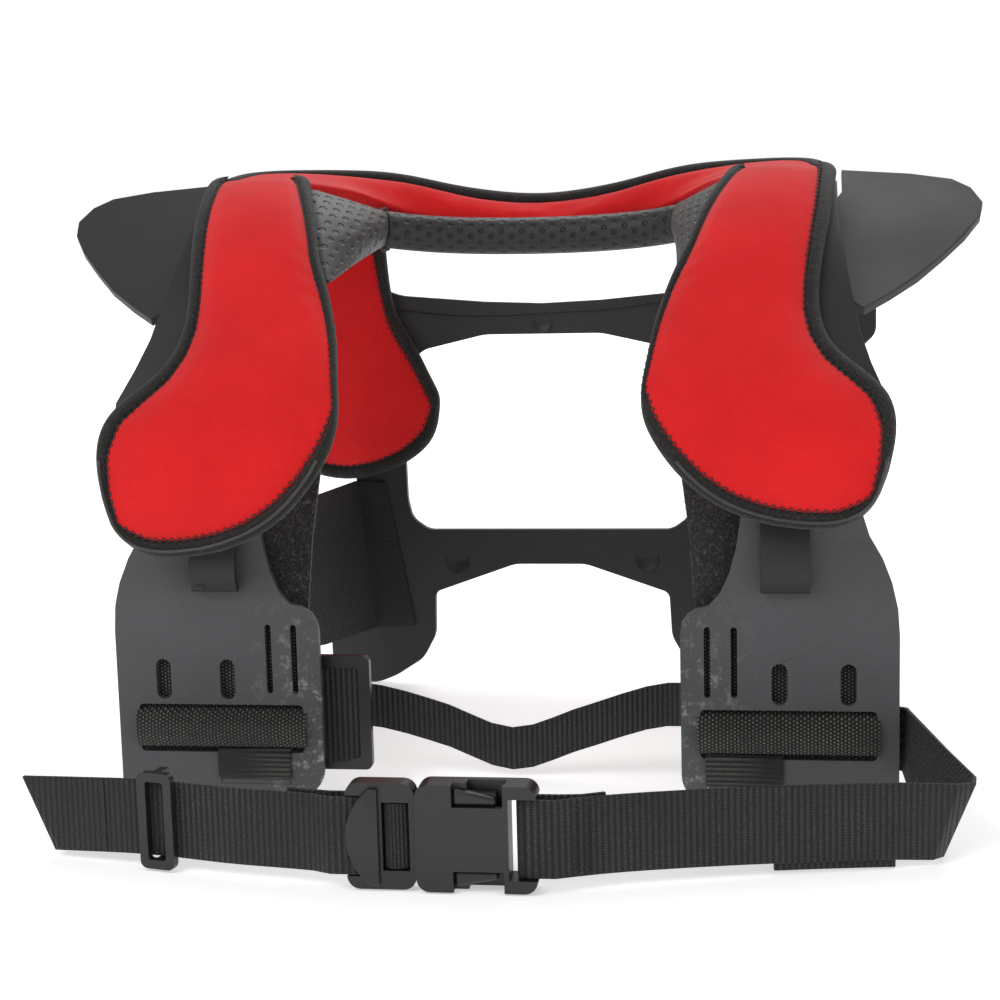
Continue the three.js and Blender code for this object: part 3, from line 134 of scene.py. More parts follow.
LAMPS = {
    "key": {"place": (-0.9, -1.3, 1.5), "aim": (0, 0, 0.15), "side": 1.0, "power": 15},
    "fill": {"place": (1.3, -1.1, 0.7), "aim": (0, 0, 0.12), "side": 1.0, "power": 4},
    "rim": {"place": (0.2, 1.0, 1.3), "aim": (0, 0, 0.2), "side": 1.2, "power": 11},
}
for name, lamp in LAMPS.items():
    light = bpy.data.lights.new(name, "AREA")
    light.size = lamp["side"]
    light.energy = lamp["power"]
    holder = bpy.data.objects.new(name, light)
    holder.location = lamp["place"]
    towards = Vector(lamp["aim"]) - Vector(lamp["place"])
    holder.rotation_euler = towards.to_track_quat("-Z", "Y").to_euler()
    scene.collection.objects.link(holder)

bpy.ops.mesh.primitive_plane_add(size=16, location=(0, 0, -0.0004))
floor = bpy.context.active_object
floor.name = "floor"
floor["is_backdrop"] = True
print("lights:", ", ".join(LAMPS))

# %% [markdown]
# ## Small helpers for materials
# A material is a chain of nodes. These helpers add a node and wire it in one line: a value that is
# itself a socket is linked, and any other value is typed into the input.


# %% Node helpers
def add(tree, kind, inputs=None, **settings):
    made = tree.nodes.new(kind)
    for name, value in settings.items():
        setattr(made, name, value)
    for name, value in (inputs or {}).items():
        if isinstance(value, bpy.types.NodeSocket):
            tree.links.new(value, made.inputs[name])
        else:
            made.inputs[name].default_value = value
    return made


def calc(tree, operation, *values):
    return add(tree, "ShaderNodeMath", dict(enumerate(values)), operation=operation).outputs[0]


def noise(tree, place, scale, detail=3.0, rough=0.55):
    inputs = {"Vector": place, "Scale": scale, "Detail": detail, "Roughness": rough}
    return add(tree, "ShaderNodeTexNoise", inputs).outputs["Fac"]


def blend_colours(tree, share, first, second):
    made = add(tree, "ShaderNodeMix", {0: share}, data_type="RGBA")
    for socket, colour in ((6, first), (7, second)):
        if isinstance(colour, bpy.types.NodeSocket):
            tree.links.new(colour, made.inputs[socket])
        else:
            made.inputs[socket].default_value = (*colour, 1)
    return made.outputs[2]


def spread(tree, value, low, high, to_low=0.0, to_high=1.0):
    inputs = {0: value, 1: low, 2: high, 3: to_low, 4: to_high}
    return add(tree, "ShaderNodeMapRange", inputs).outputs[0]


def new_material(name, roughness, sheen=0.0, specular=0.5):
    material = bpy.data.materials.new(name)
    material.use_nodes = True
    tree = material.node_tree
    shader = tree.nodes["Principled BSDF"]
    shader.inputs["Roughness"].default_value = roughness
    shader.inputs["Specular IOR Level"].default_value = specular
    shader.inputs["Sheen Weight"].default_value = sheen
    shader.inputs["Sheen Roughness"].default_value = 0.5
    return material, tree, shader


def dress(tree, shader, colour, height, strength, depth):
    bump = add(tree, "ShaderNodeBump", {"Height": height, "Strength": strength, "Distance": depth})
    tree.links.new(colour, shader.inputs["Base Color"])
    tree.links.new(bump.outputs[0], shader.inputs["Normal"])


floor_paint, tree, shader = new_material("floor_paint", 0.9, specular=0.1)
place = add(tree, "ShaderNodeTexCoord").outputs["Object"]
patches = noise(tree, place, 3)
white = blend_colours(tree, patches, (0.9, 0.9, 0.9), (0.94, 0.94, 0.94))
dress(tree, shader, white, patches, 0.01, 1 * MM)
shader.inputs["Emission Color"].default_value = (1, 1, 1, 1)
reach = add(tree, "ShaderNodeVectorMath", {0: place}, operation="LENGTH").outputs["Value"]
tree.links.new(spread(tree, reach, 0.4, 1.6, 0.45, 0.95), shader.inputs["Emission Strength"])
floor.data.materials.append(floor_paint)
print("floor paint is ready")

# %% [markdown]
# ## Red knit
# The lobes are covered with a smooth red jersey over foam. Close up it shows fine slanting rows of
# loops, and larger soft patches where the foam below is uneven. A wave texture makes the rows and two
# noises make the fuzz and the patches.

# %% Red knit
KNIT_PITCH = 1.05 * MM
WAVES_PER_METRE = 0.314

red_knit, tree, shader = new_material("red_knit", 0.82, sheen=0.12, specular=0.25)
place = add(tree, "ShaderNodeTexCoord").outputs["Object"]
turned = add(tree, "ShaderNodeMapping", {"Vector": place, "Rotation": (0.3, 0.75, 0.2)}).outputs[0]
wave_inputs = {
    "Vector": turned,
    "Scale": WAVES_PER_METRE / KNIT_PITCH,
    "Distortion": 4.5,
    "Detail": 2,
    "Detail Scale": 3,
}
rows = add(tree, "ShaderNodeTexWave", wave_inputs, bands_direction="Z").outputs["Fac"]
fuzz = noise(tree, place, 1500, 4, 0.7)
patches = noise(tree, place, 28, 3)
loops = calc(tree, "MULTIPLY_ADD", rows, 0.2, calc(tree, "MULTIPLY", fuzz, 1.2))
tint = calc(tree, "MULTIPLY_ADD", patches, 0.5, calc(tree, "MULTIPLY", loops, 0.45))
red = blend_colours(tree, spread(tree, tint, 0.25, 0.85), (0.5, 0.002, 0.004), (0.82, 0.012, 0.014))
dress(tree, shader, red, loops, 0.35, 0.35 * MM)
print("red knit pitch", KNIT_PITCH / MM, "mm")

# %% [markdown]
# ## Binding tape
# The edges of the pads are bound with a stretchy black tape. It is matt, a little brown in the light,
# and rough with short loops, so its pattern is a coarse noise with pale specks.

# %% Binding tape
binding_tape, tree, shader = new_material("binding_tape", 0.78, sheen=0.15, specular=0.3)
place = add(tree, "ShaderNodeTexCoord").outputs["Object"]
nap = noise(tree, place, 1100, 5, 0.75)
puckers = noise(tree, place, 260, 2)
specks = spread(tree, nap, 0.52, 0.75)
tape_black = blend_colours(tree, specks, (0.009, 0.0085, 0.008), (0.075, 0.068, 0.063))
rough_height = calc(tree, "MULTIPLY_ADD", puckers, 1.2, nap)
dress(tree, shader, tape_black, rough_height, 0.7, 0.7 * MM)

thread_black, tree, shader = new_material("thread_black", 0.6, sheen=0.1, specular=0.4)
place = add(tree, "ShaderNodeTexCoord").outputs["Object"]
twist = noise(tree, place, 2500, 2)
strand = blend_colours(tree, twist, (0.008, 0.008, 0.008), (0.03, 0.029, 0.028))
dress(tree, shader, strand, twist, 0.4, 0.2 * MM)

piping_gloss, tree, shader = new_material("piping_gloss", 0.38, specular=0.5)
place = add(tree, "ShaderNodeTexCoord").outputs["Object"]
grain = noise(tree, place, 700, 2)
cord = blend_colours(tree, grain, (0.02, 0.02, 0.02), (0.045, 0.045, 0.045))
dress(tree, shader, cord, grain, 0.2, 0.2 * MM)
print("binding tape, thread and piping are ready")

# %% [markdown]
# ## Perforated fabric
# The neck roll is covered with a slightly shiny fabric punched with small round holes in offset rows.
# The holes follow the fabric, so they are drawn on the piece's own UV map, which holds millimetres.
# Two grids of cell centres, one shifted by half a cell, give the offset rows; the nearer centre
# decides how deep the dimple is.

# %% Perforated fabric
ROLL_HOLES = {"pitch": 9.8, "radius": 1.2}
WALL_HOLES = {"pitch": 8.4, "radius": 1.15}
ROW_SHARE = 0.62


def holes(tree, pitch, radius):
    flat = add(tree, "ShaderNodeUVMap", uv_map="cloth").outputs["UV"]
    split = add(tree, "ShaderNodeSeparateXYZ", {0: flat})
    nearest = None
    for shift in (0.0, 0.5):
        squares = []
        for axis, step in (("X", pitch), ("Y", pitch * ROW_SHARE)):
            cell = calc(tree, "FRACT", calc(tree, "MULTIPLY_ADD", split.outputs[axis], 1 / step, shift))
            off = calc(tree, "MULTIPLY", calc(tree, "SUBTRACT", cell, 0.5), step)
            squares.append(calc(tree, "POWER", calc(tree, "ABSOLUTE", off), 2.0))
        reach = calc(tree, "SQRT", calc(tree, "ADD", *squares))
        nearest = reach if nearest is None else calc(tree, "MINIMUM", nearest, reach)
    return spread(tree, nearest, radius * 0.72, radius * 1.25)


def perforated(name, pitch, radius):
    material, tree, shader = new_material(name, 0.5, sheen=0.1, specular=0.45)
    cloth = holes(tree, pitch, radius)
    place = add(tree, "ShaderNodeTexCoord").outputs["Object"]
    grain = noise(tree, place, 1800, 3)
    skin = blend_colours(tree, grain, (0.008, 0.008, 0.0085), (0.024, 0.024, 0.025))
    colour = blend_colours(tree, cloth, (0.0012, 0.0012, 0.0012), skin)
    height = calc(tree, "MULTIPLY_ADD", grain, 0.12, cloth)
    dress(tree, shader, colour, height, 0.9, 0.9 * MM)
    return material


roll_fabric = perforated("roll_fabric", **ROLL_HOLES)
wall_fabric = perforated("wall_fabric", **WALL_HOLES)
print("holes every", ROLL_HOLES["pitch"] / 2, "mm on the roll")

# %% [markdown]
# ## Webbing
# Webbing is woven with thick weft ribs across its length; the warp yarns pass over them as small
# beads. The pattern is drawn on the UV map: U is the length along the strap and V the distance across
# it, in millimetres. From rib to rib the beads are shifted by a share of a bead. The pale colour on
# the tops of the ribs and beads is a painted highlight, broken up by lint and dimmed in patches by wear.


# %% Webbing
def webbing(name, rib, bead, dark, pale, bead_share=0.5, shift=0.5):
    material, tree, shader = new_material(name, 0.62, sheen=0.08, specular=0.4)
    flat = add(tree, "ShaderNodeUVMap", uv_map="cloth").outputs["UV"]
    split = add(tree, "ShaderNodeSeparateXYZ", {0: flat})
    ribs = calc(tree, "MULTIPLY", split.outputs["X"], 1 / rib)
    ridge = calc(tree, "ABSOLUTE", calc(tree, "SINE", calc(tree, "MULTIPLY", ribs, math.pi)))
    odd = calc(tree, "FLOOR", ribs)
    phase = calc(tree, "MULTIPLY_ADD", odd, shift, calc(tree, "MULTIPLY", split.outputs["Y"], 1 / bead))
    beads = calc(tree, "ABSOLUTE", calc(tree, "SINE", calc(tree, "MULTIPLY", phase, math.pi)))
    beaded = spread(tree, beads, 0, 1, 1 - bead_share, 1)
    woven = calc(tree, "MULTIPLY", calc(tree, "POWER", ridge, 0.7), beaded)
    place = add(tree, "ShaderNodeTexCoord").outputs["Object"]
    lint = noise(tree, place, 2200, 3, 0.6)
    wear_and_sheen = noise(tree, place, 22, 2)
    # Painted highlight: the tops of the ribs and beads get the pale colour; lint breaks it up and wear
    # dims it in patches.
    shine = calc(tree, "MULTIPLY", spread(tree, woven, 0.55, 1), spread(tree, lint, 0.35, 0.8))
    shine = calc(tree, "MULTIPLY", shine, spread(tree, wear_and_sheen, 0.3, 0.75, 0.35, 1))
    colour = blend_colours(tree, shine, dark, pale)
    dress(tree, shader, colour, calc(tree, "MULTIPLY_ADD", lint, 0.15, woven), 0.85, 0.7 * MM)
    return material


belt_webbing = webbing("belt_webbing", 2.4, 1.0, (0.003, 0.003, 0.0033), (0.13, 0.133, 0.115), 0.35, 0.1)
basket_webbing = webbing("basket_webbing", 1.5, 1.5, (0.003, 0.003, 0.003), (0.6, 0.57, 0.46), 0.95)
loop_webbing = webbing("loop_webbing", 60, 2.1, (0.005, 0.005, 0.005), (0.22, 0.21, 0.18), 1.0)
fine_webbing = webbing("fine_webbing", 1.7, 1.0, (0.002, 0.002, 0.0022), (0.022, 0.022, 0.02), 0.7)
print("four webbings are ready")

# %% [markdown]
# ## Hook and loop
# The straps behind the chest plates are hook-and-loop tape: a dense mat of tiny nylon loops that
# sparkle. A sharp noise gives the mat, and real fibres are scattered over it further down.

# %% Hook and loop
loop_mat, tree, shader = new_material("loop_mat", 0.7, sheen=0.25, specular=0.4)
place = add(tree, "ShaderNodeTexCoord").outputs["Object"]
mat = noise(tree, place, 620, 6, 0.9)
glints = spread(tree, mat, 0.53, 0.68)
colour = blend_colours(tree, glints, (0.002, 0.002, 0.002), (0.2, 0.2, 0.18))
dress(tree, shader, colour, mat, 0.9, 1.1 * MM)

fibre_black, tree, shader = new_material("fibre_black", 0.5, specular=0.5)
place = add(tree, "ShaderNodeTexCoord").outputs["Object"]
glint = noise(tree, place, 500, 2)
nylon = blend_colours(tree, glint, (0.01, 0.01, 0.01), (0.2, 0.2, 0.19))
dress(tree, shader, nylon, glint, 0.2, 0.1 * MM)
print("hook and loop is ready")

# %% [markdown]
# ## Moulded plastic
# Three plastics: the soft matt one of the shells and wings, the greyer one of the chest plates with
# rubbed, pale scuffs near their inner corners, and the glossier one of the buckle. All have a fine
# mould grain. The scuffs are a noise that fades with the distance from a corner.


# %% Moulded plastic
def moulded(name, dark, pale, roughness, grain_scale, grain_depth, scuffs=None):
    material, tree, shader = new_material(name, roughness, specular=0.5)
    place = add(tree, "ShaderNodeTexCoord").outputs["Object"]
    grain = noise(tree, place, grain_scale, 3, 0.6)
    clouds = noise(tree, place, 16, 3)
    mix = calc(tree, "MULTIPLY_ADD", clouds, 0.6, calc(tree, "MULTIPLY", grain, 0.4))
    colour = blend_colours(tree, spread(tree, mix, 0.3, 0.7), dark, pale)
    if scuffs:
        across = add(tree, "ShaderNodeSeparateXYZ", {0: place})
        inward = calc(tree, "SUBTRACT", calc(tree, "ABSOLUTE", across.outputs["X"]), scuffs["edge"])
        near = spread(tree, inward, 0, scuffs["reach"], 1, 0)
        low = spread(tree, across.outputs["Z"], scuffs["low"], scuffs["high"], 1, 0)
        rubs = spread(tree, noise(tree, place, 150, 5, 0.8), 0.53, 0.66)
        share = calc(tree, "MULTIPLY", calc(tree, "MULTIPLY", near, low), rubs)
        colour = blend_colours(tree, share, colour, scuffs["colour"])
    gloss = spread(tree, clouds, 0.3, 0.7, roughness - 0.06, roughness + 0.08)
    tree.links.new(gloss, shader.inputs["Roughness"])
    dress(tree, shader, colour, grain, 0.35, grain_depth)
    return material


SCUFFS = {
    "edge": 76 * MM,
    "reach": 34 * MM,
    "low": 55 * MM,
    "high": 95 * MM,
    "colour": (0.3, 0.31, 0.32),
}
plate_plastic = moulded(
    "plate_plastic", (0.045, 0.046, 0.049), (0.078, 0.08, 0.085), 0.5, 1300, 0.25 * MM, SCUFFS
)
BLACKS = {
    "shell": ((0.007, 0.007, 0.0075), (0.013, 0.013, 0.014), 0.52, 1500, 0.2 * MM),
    "frame": ((0.008, 0.008, 0.0085), (0.015, 0.015, 0.016), 0.48, 1500, 0.2 * MM),
    "buckle": ((0.009, 0.009, 0.0095), (0.018, 0.0185, 0.02), 0.36, 1700, 0.15 * MM),
}
shell_plastic, frame_plastic, buckle_plastic = (
    moulded(f"{name}_plastic", *values) for name, values in BLACKS.items()
)
print("four plastics are ready")

# %% [markdown]
# ## Helpers for pieces
# Most pieces start as a copy of their solid: the loose triangles are welded and turned back into
# quads, and then bevels, subdivision or a cloth simulation give the real surface. The solid itself is
# never touched; the finished piece replaces it.


# %% Piece helpers
WELD = 0.02 * MM


def only(piece):
    for other in bpy.context.selected_objects:
        other.select_set(False)
    piece.select_set(True)
    bpy.context.view_layer.objects.active = piece


@contextmanager
def editing(piece, select="SELECT"):
    only(piece)
    bpy.ops.object.mode_set(mode="EDIT")
    if select:
        bpy.ops.mesh.select_all(action=select)
    yield
    bpy.ops.object.mode_set(mode="OBJECT")


def pick_faces(piece, wanted):
    with editing(piece, "DESELECT"):
        pass
    for face in piece.data.polygons:
        face.select = wanted(face)


def settled(name):
    piece = bpy.context.active_object
    piece.name = name
    only(piece)
    bpy.ops.object.transform_apply(location=True, rotation=True, scale=True)
    return piece


def copy_of(node, name):
    mesh = frame["nodes"][node].data.copy()
    mesh.materials.clear()
    piece = bpy.data.objects.new(name, mesh)
    scene.collection.objects.link(piece)
    only(piece)
    bpy.ops.mesh.customdata_custom_splitnormals_clear()
    flat, square = math.radians(30), math.radians(50)
    with editing(piece):
        bpy.ops.mesh.remove_doubles(threshold=WELD)
        bpy.ops.mesh.tris_convert_to_quads(face_threshold=flat, shape_threshold=square)
    return piece


def modify(piece, kind, **settings):
    only(piece)
    modifier = piece.modifiers.new(kind.lower(), kind)
    for name, value in settings.items():
        setattr(modifier, name, value)
    bpy.ops.object.modifier_apply(modifier=modifier.name)


def soften_edges(piece, width, segments=2, angle=38):
    limit = math.radians(angle)
    settings = {"width": width, "segments": segments, "limit_method": "ANGLE", "angle_limit": limit}
    modify(piece, "BEVEL", use_clamp_overlap=True, harden_normals=False, **settings)


def smooth(piece, angle=45):
    only(piece)
    bpy.ops.object.shade_smooth_by_angle(angle=math.radians(angle))


def hand_in(piece, material, slot, *nodes):
    piece.data.materials.clear()
    piece.data.materials.append(material)
    if nodes:
        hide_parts(*nodes)
    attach(piece, "root")
    return piece


def triangles(piece):
    return sum(len(face.vertices) - 2 for face in piece.data.polygons)


def tree_of(piece):
    graph = bpy.context.evaluated_depsgraph_get()
    return BVHTree.FromObject(piece, graph)


print("helpers are ready")

# %% [markdown]
# ## Padded pieces
# The lobes and the collar are foam in a knitted cover. A cloth simulation with a little pressure
# from inside makes the cover swell between its edges the way stuffed cloth does. The back of a lobe
# lies on its shell, so those points are pinned, and no point may move further than a cap. The front
# lobes also reach a little further back over the crest than their solids, under the collar's edge.


# %% Swell a pad
def back_side(piece, outward):
    return [v.index for v in piece.data.vertices if v.normal.dot(outward) < -0.25]


def swell(piece, pressure, cap, pinned, frames=20):
    start = np.array([v.co for v in piece.data.vertices])
    group = piece.vertex_groups.new(name="held")
    group.add(pinned, 1.0, "REPLACE")
    only(piece)
    modifier = piece.modifiers.new("swell", "CLOTH")
    cloth = modifier.settings
    cloth.quality = 4
    cloth.mass = 0.2
    cloth.use_pressure = True
    cloth.uniform_pressure_force = pressure
    cloth.tension_stiffness = 8
    cloth.compression_stiffness = 8
    cloth.bending_stiffness = 0.5
    cloth.effector_weights.gravity = 0
    cloth.vertex_group_mass = "held"
    modifier.point_cache.frame_start = 1
    modifier.point_cache.frame_end = frames
    for step in range(1, frames + 1):
        scene.frame_set(step)
    graph = bpy.context.evaluated_depsgraph_get()
    swollen = piece.evaluated_get(graph).data
    moved = np.array([v.co for v in swollen.vertices]) - start
    length = np.linalg.norm(moved, axis=1, keepdims=True)
    moved *= np.minimum(1, cap / np.maximum(length, 1e-9))
    piece.modifiers.remove(modifier)
    scene.frame_set(1)
    piece.data.vertices.foreach_set("co", (start + moved).ravel())
    piece.data.update()
    print(f"{piece.name} swelled up to {np.linalg.norm(moved, axis=1).max() / MM:.1f} mm")


CREST_FROM = 36 * MM
CREST_LENGTH = 16 * MM
CREST_REACH = 8 * MM


def over_the_crest(piece):
    for v in piece.data.vertices:
        share = min(1, max(0, (v.co.y - CREST_FROM) / CREST_LENGTH))
        v.co.y += CREST_REACH * share**2
        v.co.z -= 0.5 * MM * share**2


def pad(node, outward, cuts, grow, pressure, cap, pin_back=True, long_top=False):
    piece = copy_of(node, node + "_knit")
    with editing(piece):
        bpy.ops.mesh.subdivide(number_cuts=cuts, smoothness=0)
        bpy.ops.transform.shrink_fatten(value=grow)
    if long_top:
        over_the_crest(piece)
    pinned = back_side(piece, Vector(outward).normalized()) if pin_back else []
    swell(piece, pressure, cap, pinned)
    modify(piece, "SMOOTH", factor=0.5, iterations=2)
    modify(piece, "SUBSURF", levels=1, render_levels=1)
    smooth(piece, 80)
    hand_in(piece, red_knit, slots[node], node)
    print(f"{piece.name}: {triangles(piece)} triangles")
    return piece


# %% Front and rear pads
FRONT_OUT = (0, -0.75, 0.66)
pads = {}
for side in SIDES:
    pads["front_" + side] = pad(f"front_pad_{side}", FRONT_OUT, 3, 1.1 * MM, 4, 2.2 * MM, long_top=True)
    pads["rear_" + side] = pad(f"rear_pad_{side}", (0, -1, 0), 3, 1.3 * MM, 4, 2.2 * MM)
pad("collar_band", (0, 0, 1), 3, 0.3 * MM, 3, 1.5 * MM, pin_back=False)

# %% [markdown]
# ## Bindings
# A binding is a tape folded round the edge of a pad. Its solid is a coarse ring with a low roof-like
# section, which two levels of subdivision round. Over the crest the knit runs on without a tape, so
# the front rings are opened there.

# %% Bindings
TAPE_END = 50 * MM
TAPE_KEPT = 7 * MM
TAPE_GROW = 0.5 * MM


def open_over_crest(piece):
    top = [v.co.x for v in piece.data.vertices if v.co.y > TAPE_END]
    low_x, high_x = min(top) + TAPE_KEPT, max(top) - TAPE_KEPT
    pick_faces(piece, lambda face: face.center.y > TAPE_END and low_x < face.center.x < high_x)
    with editing(piece, None):
        bpy.ops.mesh.delete(type="FACE")
        bpy.ops.mesh.select_all(action="SELECT")
        bpy.ops.mesh.fill_holes(sides=0)


bindings = {}
for side in SIDES:
    for lobe in ("front", "rear"):
        node = f"{lobe}_binding_{side}"
        bindings[f"{lobe}_{side}"] = copy_of(node, node + "_tape")
bindings["band"] = copy_of("band_binding", "band_binding_tape")
for key, piece in bindings.items():
    with editing(piece):
        bpy.ops.transform.shrink_fatten(value=TAPE_GROW)
    modify(piece, "SUBSURF", levels=2, render_levels=2)
    if key.startswith("front"):
        open_over_crest(piece)
    smooth(piece, 80)
    node = piece.name.removesuffix("_tape")
    hand_in(piece, binding_tape, slots[node], node)
    print(f"{piece.name}: {triangles(piece)} triangles")

# %% [markdown]
# ## Edge lines of a solid
# The stitches run beside the edge of each pad. Rather than typing that line again, we read it from
# the solid: its sharp edges form closed loops, and each loop is walked from point to point.


# %% Sharp loops
def sharp_loops(node, angle=38, least=24):
    mesh = bmesh.new()
    mesh.from_mesh(frame["nodes"][node].data)
    bmesh.ops.remove_doubles(mesh, verts=mesh.verts, dist=WELD)
    limit = math.radians(angle)
    sharp = {e for e in mesh.edges if len(e.link_faces) == 2 and e.calc_face_angle(0) > limit}
    loops = []
    while sharp:
        edge = min(sharp, key=lambda e: e.index)
        sharp.discard(edge)
        walk = [edge.verts[0], edge.verts[1]]
        while True:
            tip, before = walk[-1], walk[-2]
            going = (tip.co - before.co).normalized()
            options = [e for e in tip.link_edges if e in sharp]
            if not options:
                break
            best = max(options, key=lambda e: going.dot((e.other_vert(tip).co - tip.co).normalized()))
            if going.dot((best.other_vert(tip).co - tip.co).normalized()) < 0.1:
                break
            sharp.discard(best)
            walk.append(best.other_vert(tip))
            if walk[-1] == walk[0]:
                break
        if len(walk) >= least:
            loops.append([v.co.copy() for v in walk])
    mesh.free()
    return loops


def length_of(loop):
    return sum((b - a).length for a, b in zip(loop, loop[1:]))


def evenly(loop, step):
    places = [Vector(loop[0])]
    left = step
    for a, b in zip(loop, loop[1:]):
        run = (b - a).length
        done = 0.0
        while run - done >= left:
            done += left
            places.append(a.lerp(b, done / run))
            left = step
        left -= run - done
    return places


def mean_along(loop, direction):
    return sum(p.dot(direction) for p in loop) / len(loop)


print("edge walking is ready")

# %% [markdown]
# ## Zigzag stitches
# A zigzag seam joins each binding to its pad: the thread jumps from the tape into the knit and back
# every millimetre or two, which gives the red its toothed edge. The line is laid along the pad's front
# rim, each point is dropped onto the surface below it, and a thin round thread follows the points. On
# the front lobes it stops just before the tape does.

# %% Stitches
STITCH_STEP = 1.7 * MM
STITCH_OUT = 1.5 * MM
STITCH_IN = 1.3 * MM
THREAD = 0.36 * MM
STITCH_END = TAPE_END - 2 * MM
PROBE = 3 * MM


def thread_along(name, points, radius, closed, material, slot, sides=1):
    curve = bpy.data.curves.new(name, "CURVE")
    curve.dimensions = "3D"
    curve.bevel_depth = radius
    curve.bevel_resolution = sides
    spline = curve.splines.new("POLY")
    spline.points.add(len(points) - 1)
    for place, target in zip(points, spline.points):
        target.co = (*place, 1)
    spline.use_cyclic_u = closed
    piece = bpy.data.objects.new(name, curve)
    scene.collection.objects.link(piece)
    only(piece)
    bpy.ops.object.convert(target="MESH")
    piece = bpy.context.active_object
    smooth(piece, 80)
    return hand_in(piece, material, slot)


def rims(node, outward):
    found = sorted(sharp_loops(node), key=length_of)[-2:]
    found.sort(key=lambda loop: mean_along(loop, outward))
    return found[1], found[0]


def from_gap(line):
    gap = max(range(len(line)), key=lambda i: (line[i] - line[i - 1]).length)
    return line[gap:] + line[:gap]


def zigzag(name, front, back, pad_piece, tape_piece, open_at=None):
    places = evenly(front, STITCH_STEP)
    if open_at:
        places = from_gap([p for p in places if p.y < open_at])
    back_points = np.array([tuple(p) for p in evenly(back, STITCH_STEP)])
    pad_tree, tape_tree = tree_of(pad_piece), tree_of(tape_piece)
    across = []
    for i, place in enumerate(places):
        along = places[min(i + 1, len(places) - 1)] - places[max(i - 1, 0)]
        nearest = back_points[np.linalg.norm(back_points - np.array(place), axis=1).argmin()]
        lift = place - Vector(nearest)
        across.append(along.cross(lift).normalized())
    tape_side = sum(
        tape_tree.find_nearest(p + a * PROBE)[3] < tape_tree.find_nearest(p - a * PROBE)[3]
        for p, a in zip(places, across)
    )
    sign = 1 if tape_side > len(places) / 2 else -1
    points = []
    for i, (place, away) in enumerate(zip(places, across)):
        tree = tape_tree if i % 2 else pad_tree
        aim = place + sign * away * (STITCH_OUT if i % 2 else -STITCH_IN)
        spot, normal, _, _ = tree.find_nearest(aim)
        points.append(spot + normal * THREAD * 0.5)
    return thread_along(name, points, THREAD, not open_at, thread_black, "binding_cloth")


for side in SIDES:
    for lobe, outward in (("front", FRONT_OUT), ("rear", (0, -1, 0))):
        key = f"{lobe}_{side}"
        front, back = rims(f"{lobe}_pad_{side}", Vector(outward))
        stop = STITCH_END if lobe == "front" else None
        made = zigzag(f"{lobe}_stitches_{side}", front, back, pads[key], bindings[key], stop)
        print(f"{made.name}: rim {length_of(front) / MM:.0f} mm, {triangles(made)} triangles")

# %% [markdown]
# ## Neck roll and neck walls
# The roll across the nape and the walls beside the neck are foam in the perforated fabric. They swell
# like the pads, and then get a UV map in millimetres: along the roll and round it, and along and up a
# wall. A wall is seen at a slant from the front, so its length counts for half, and its holes read
# nearly round in the picture. A wavy welt covers the seam where the roll meets a wall.


# %% Roll and walls
def cloth_map(piece, place_of):
    layer = piece.data.uv_layers.new(name="cloth")
    for face in piece.data.polygons:
        spots = [place_of(piece.data.vertices[i].co) for i in face.vertices]
        last = max(v for _, v in spots)
        wrap = getattr(place_of, "wrap", 0)
        for corner, (u, v) in zip(face.loop_indices, spots):
            if wrap and last - v > wrap / 2:
                v += wrap
            layer.data[corner].uv = (u, v)
    piece.data.uv_layers.active = layer


def padded_copy(node, name, cuts, pressure, cap):
    piece = copy_of(node, name)
    with editing(piece):
        bpy.ops.mesh.subdivide(number_cuts=cuts, smoothness=0)
    swell(piece, pressure, cap, [])
    modify(piece, "SMOOTH", factor=0.5, iterations=2)
    modify(piece, "SUBSURF", levels=1, render_levels=1)
    smooth(piece, 80)
    return piece


roll = padded_copy("neck_roll", "neck_roll_cover", 2, 2, 0.8 * MM)
points = np.array([v.co for v in roll.data.vertices])
slices = np.linspace(points[:, 0].min(), points[:, 0].max(), 25)
middles = []
for low_x, high_x in zip(slices, slices[1:]):
    inside = points[(points[:, 0] >= low_x) & (points[:, 0] <= high_x)]
    middles.append(((low_x + high_x) / 2, (inside.min(0) + inside.max(0)) / 2))
middle_x = [m[0] for m in middles]
middle_y = [m[1][1] for m in middles]
middle_z = [m[1][2] for m in middles]
ROLL_RADIUS = 9.5
WALL_LENGTH_SHARE = 0.5
WELT = {"x": 71 * MM, "radius": 9.3 * MM, "thick": 1.5 * MM, "wave": 0.7 * MM, "waves": 9}


class RollMap:
    wrap = 2 * math.pi * ROLL_RADIUS

    def __call__(self, co):
        dy = co.y - np.interp(co.x, middle_x, middle_y)
        dz = co.z - np.interp(co.x, middle_x, middle_z)
        return co.x / MM, math.atan2(dz, -dy) * ROLL_RADIUS


cloth_map(roll, RollMap())
hand_in(roll, roll_fabric, slots["neck_roll"], "neck_roll")
print(f"{roll.name}: {triangles(roll)} triangles")

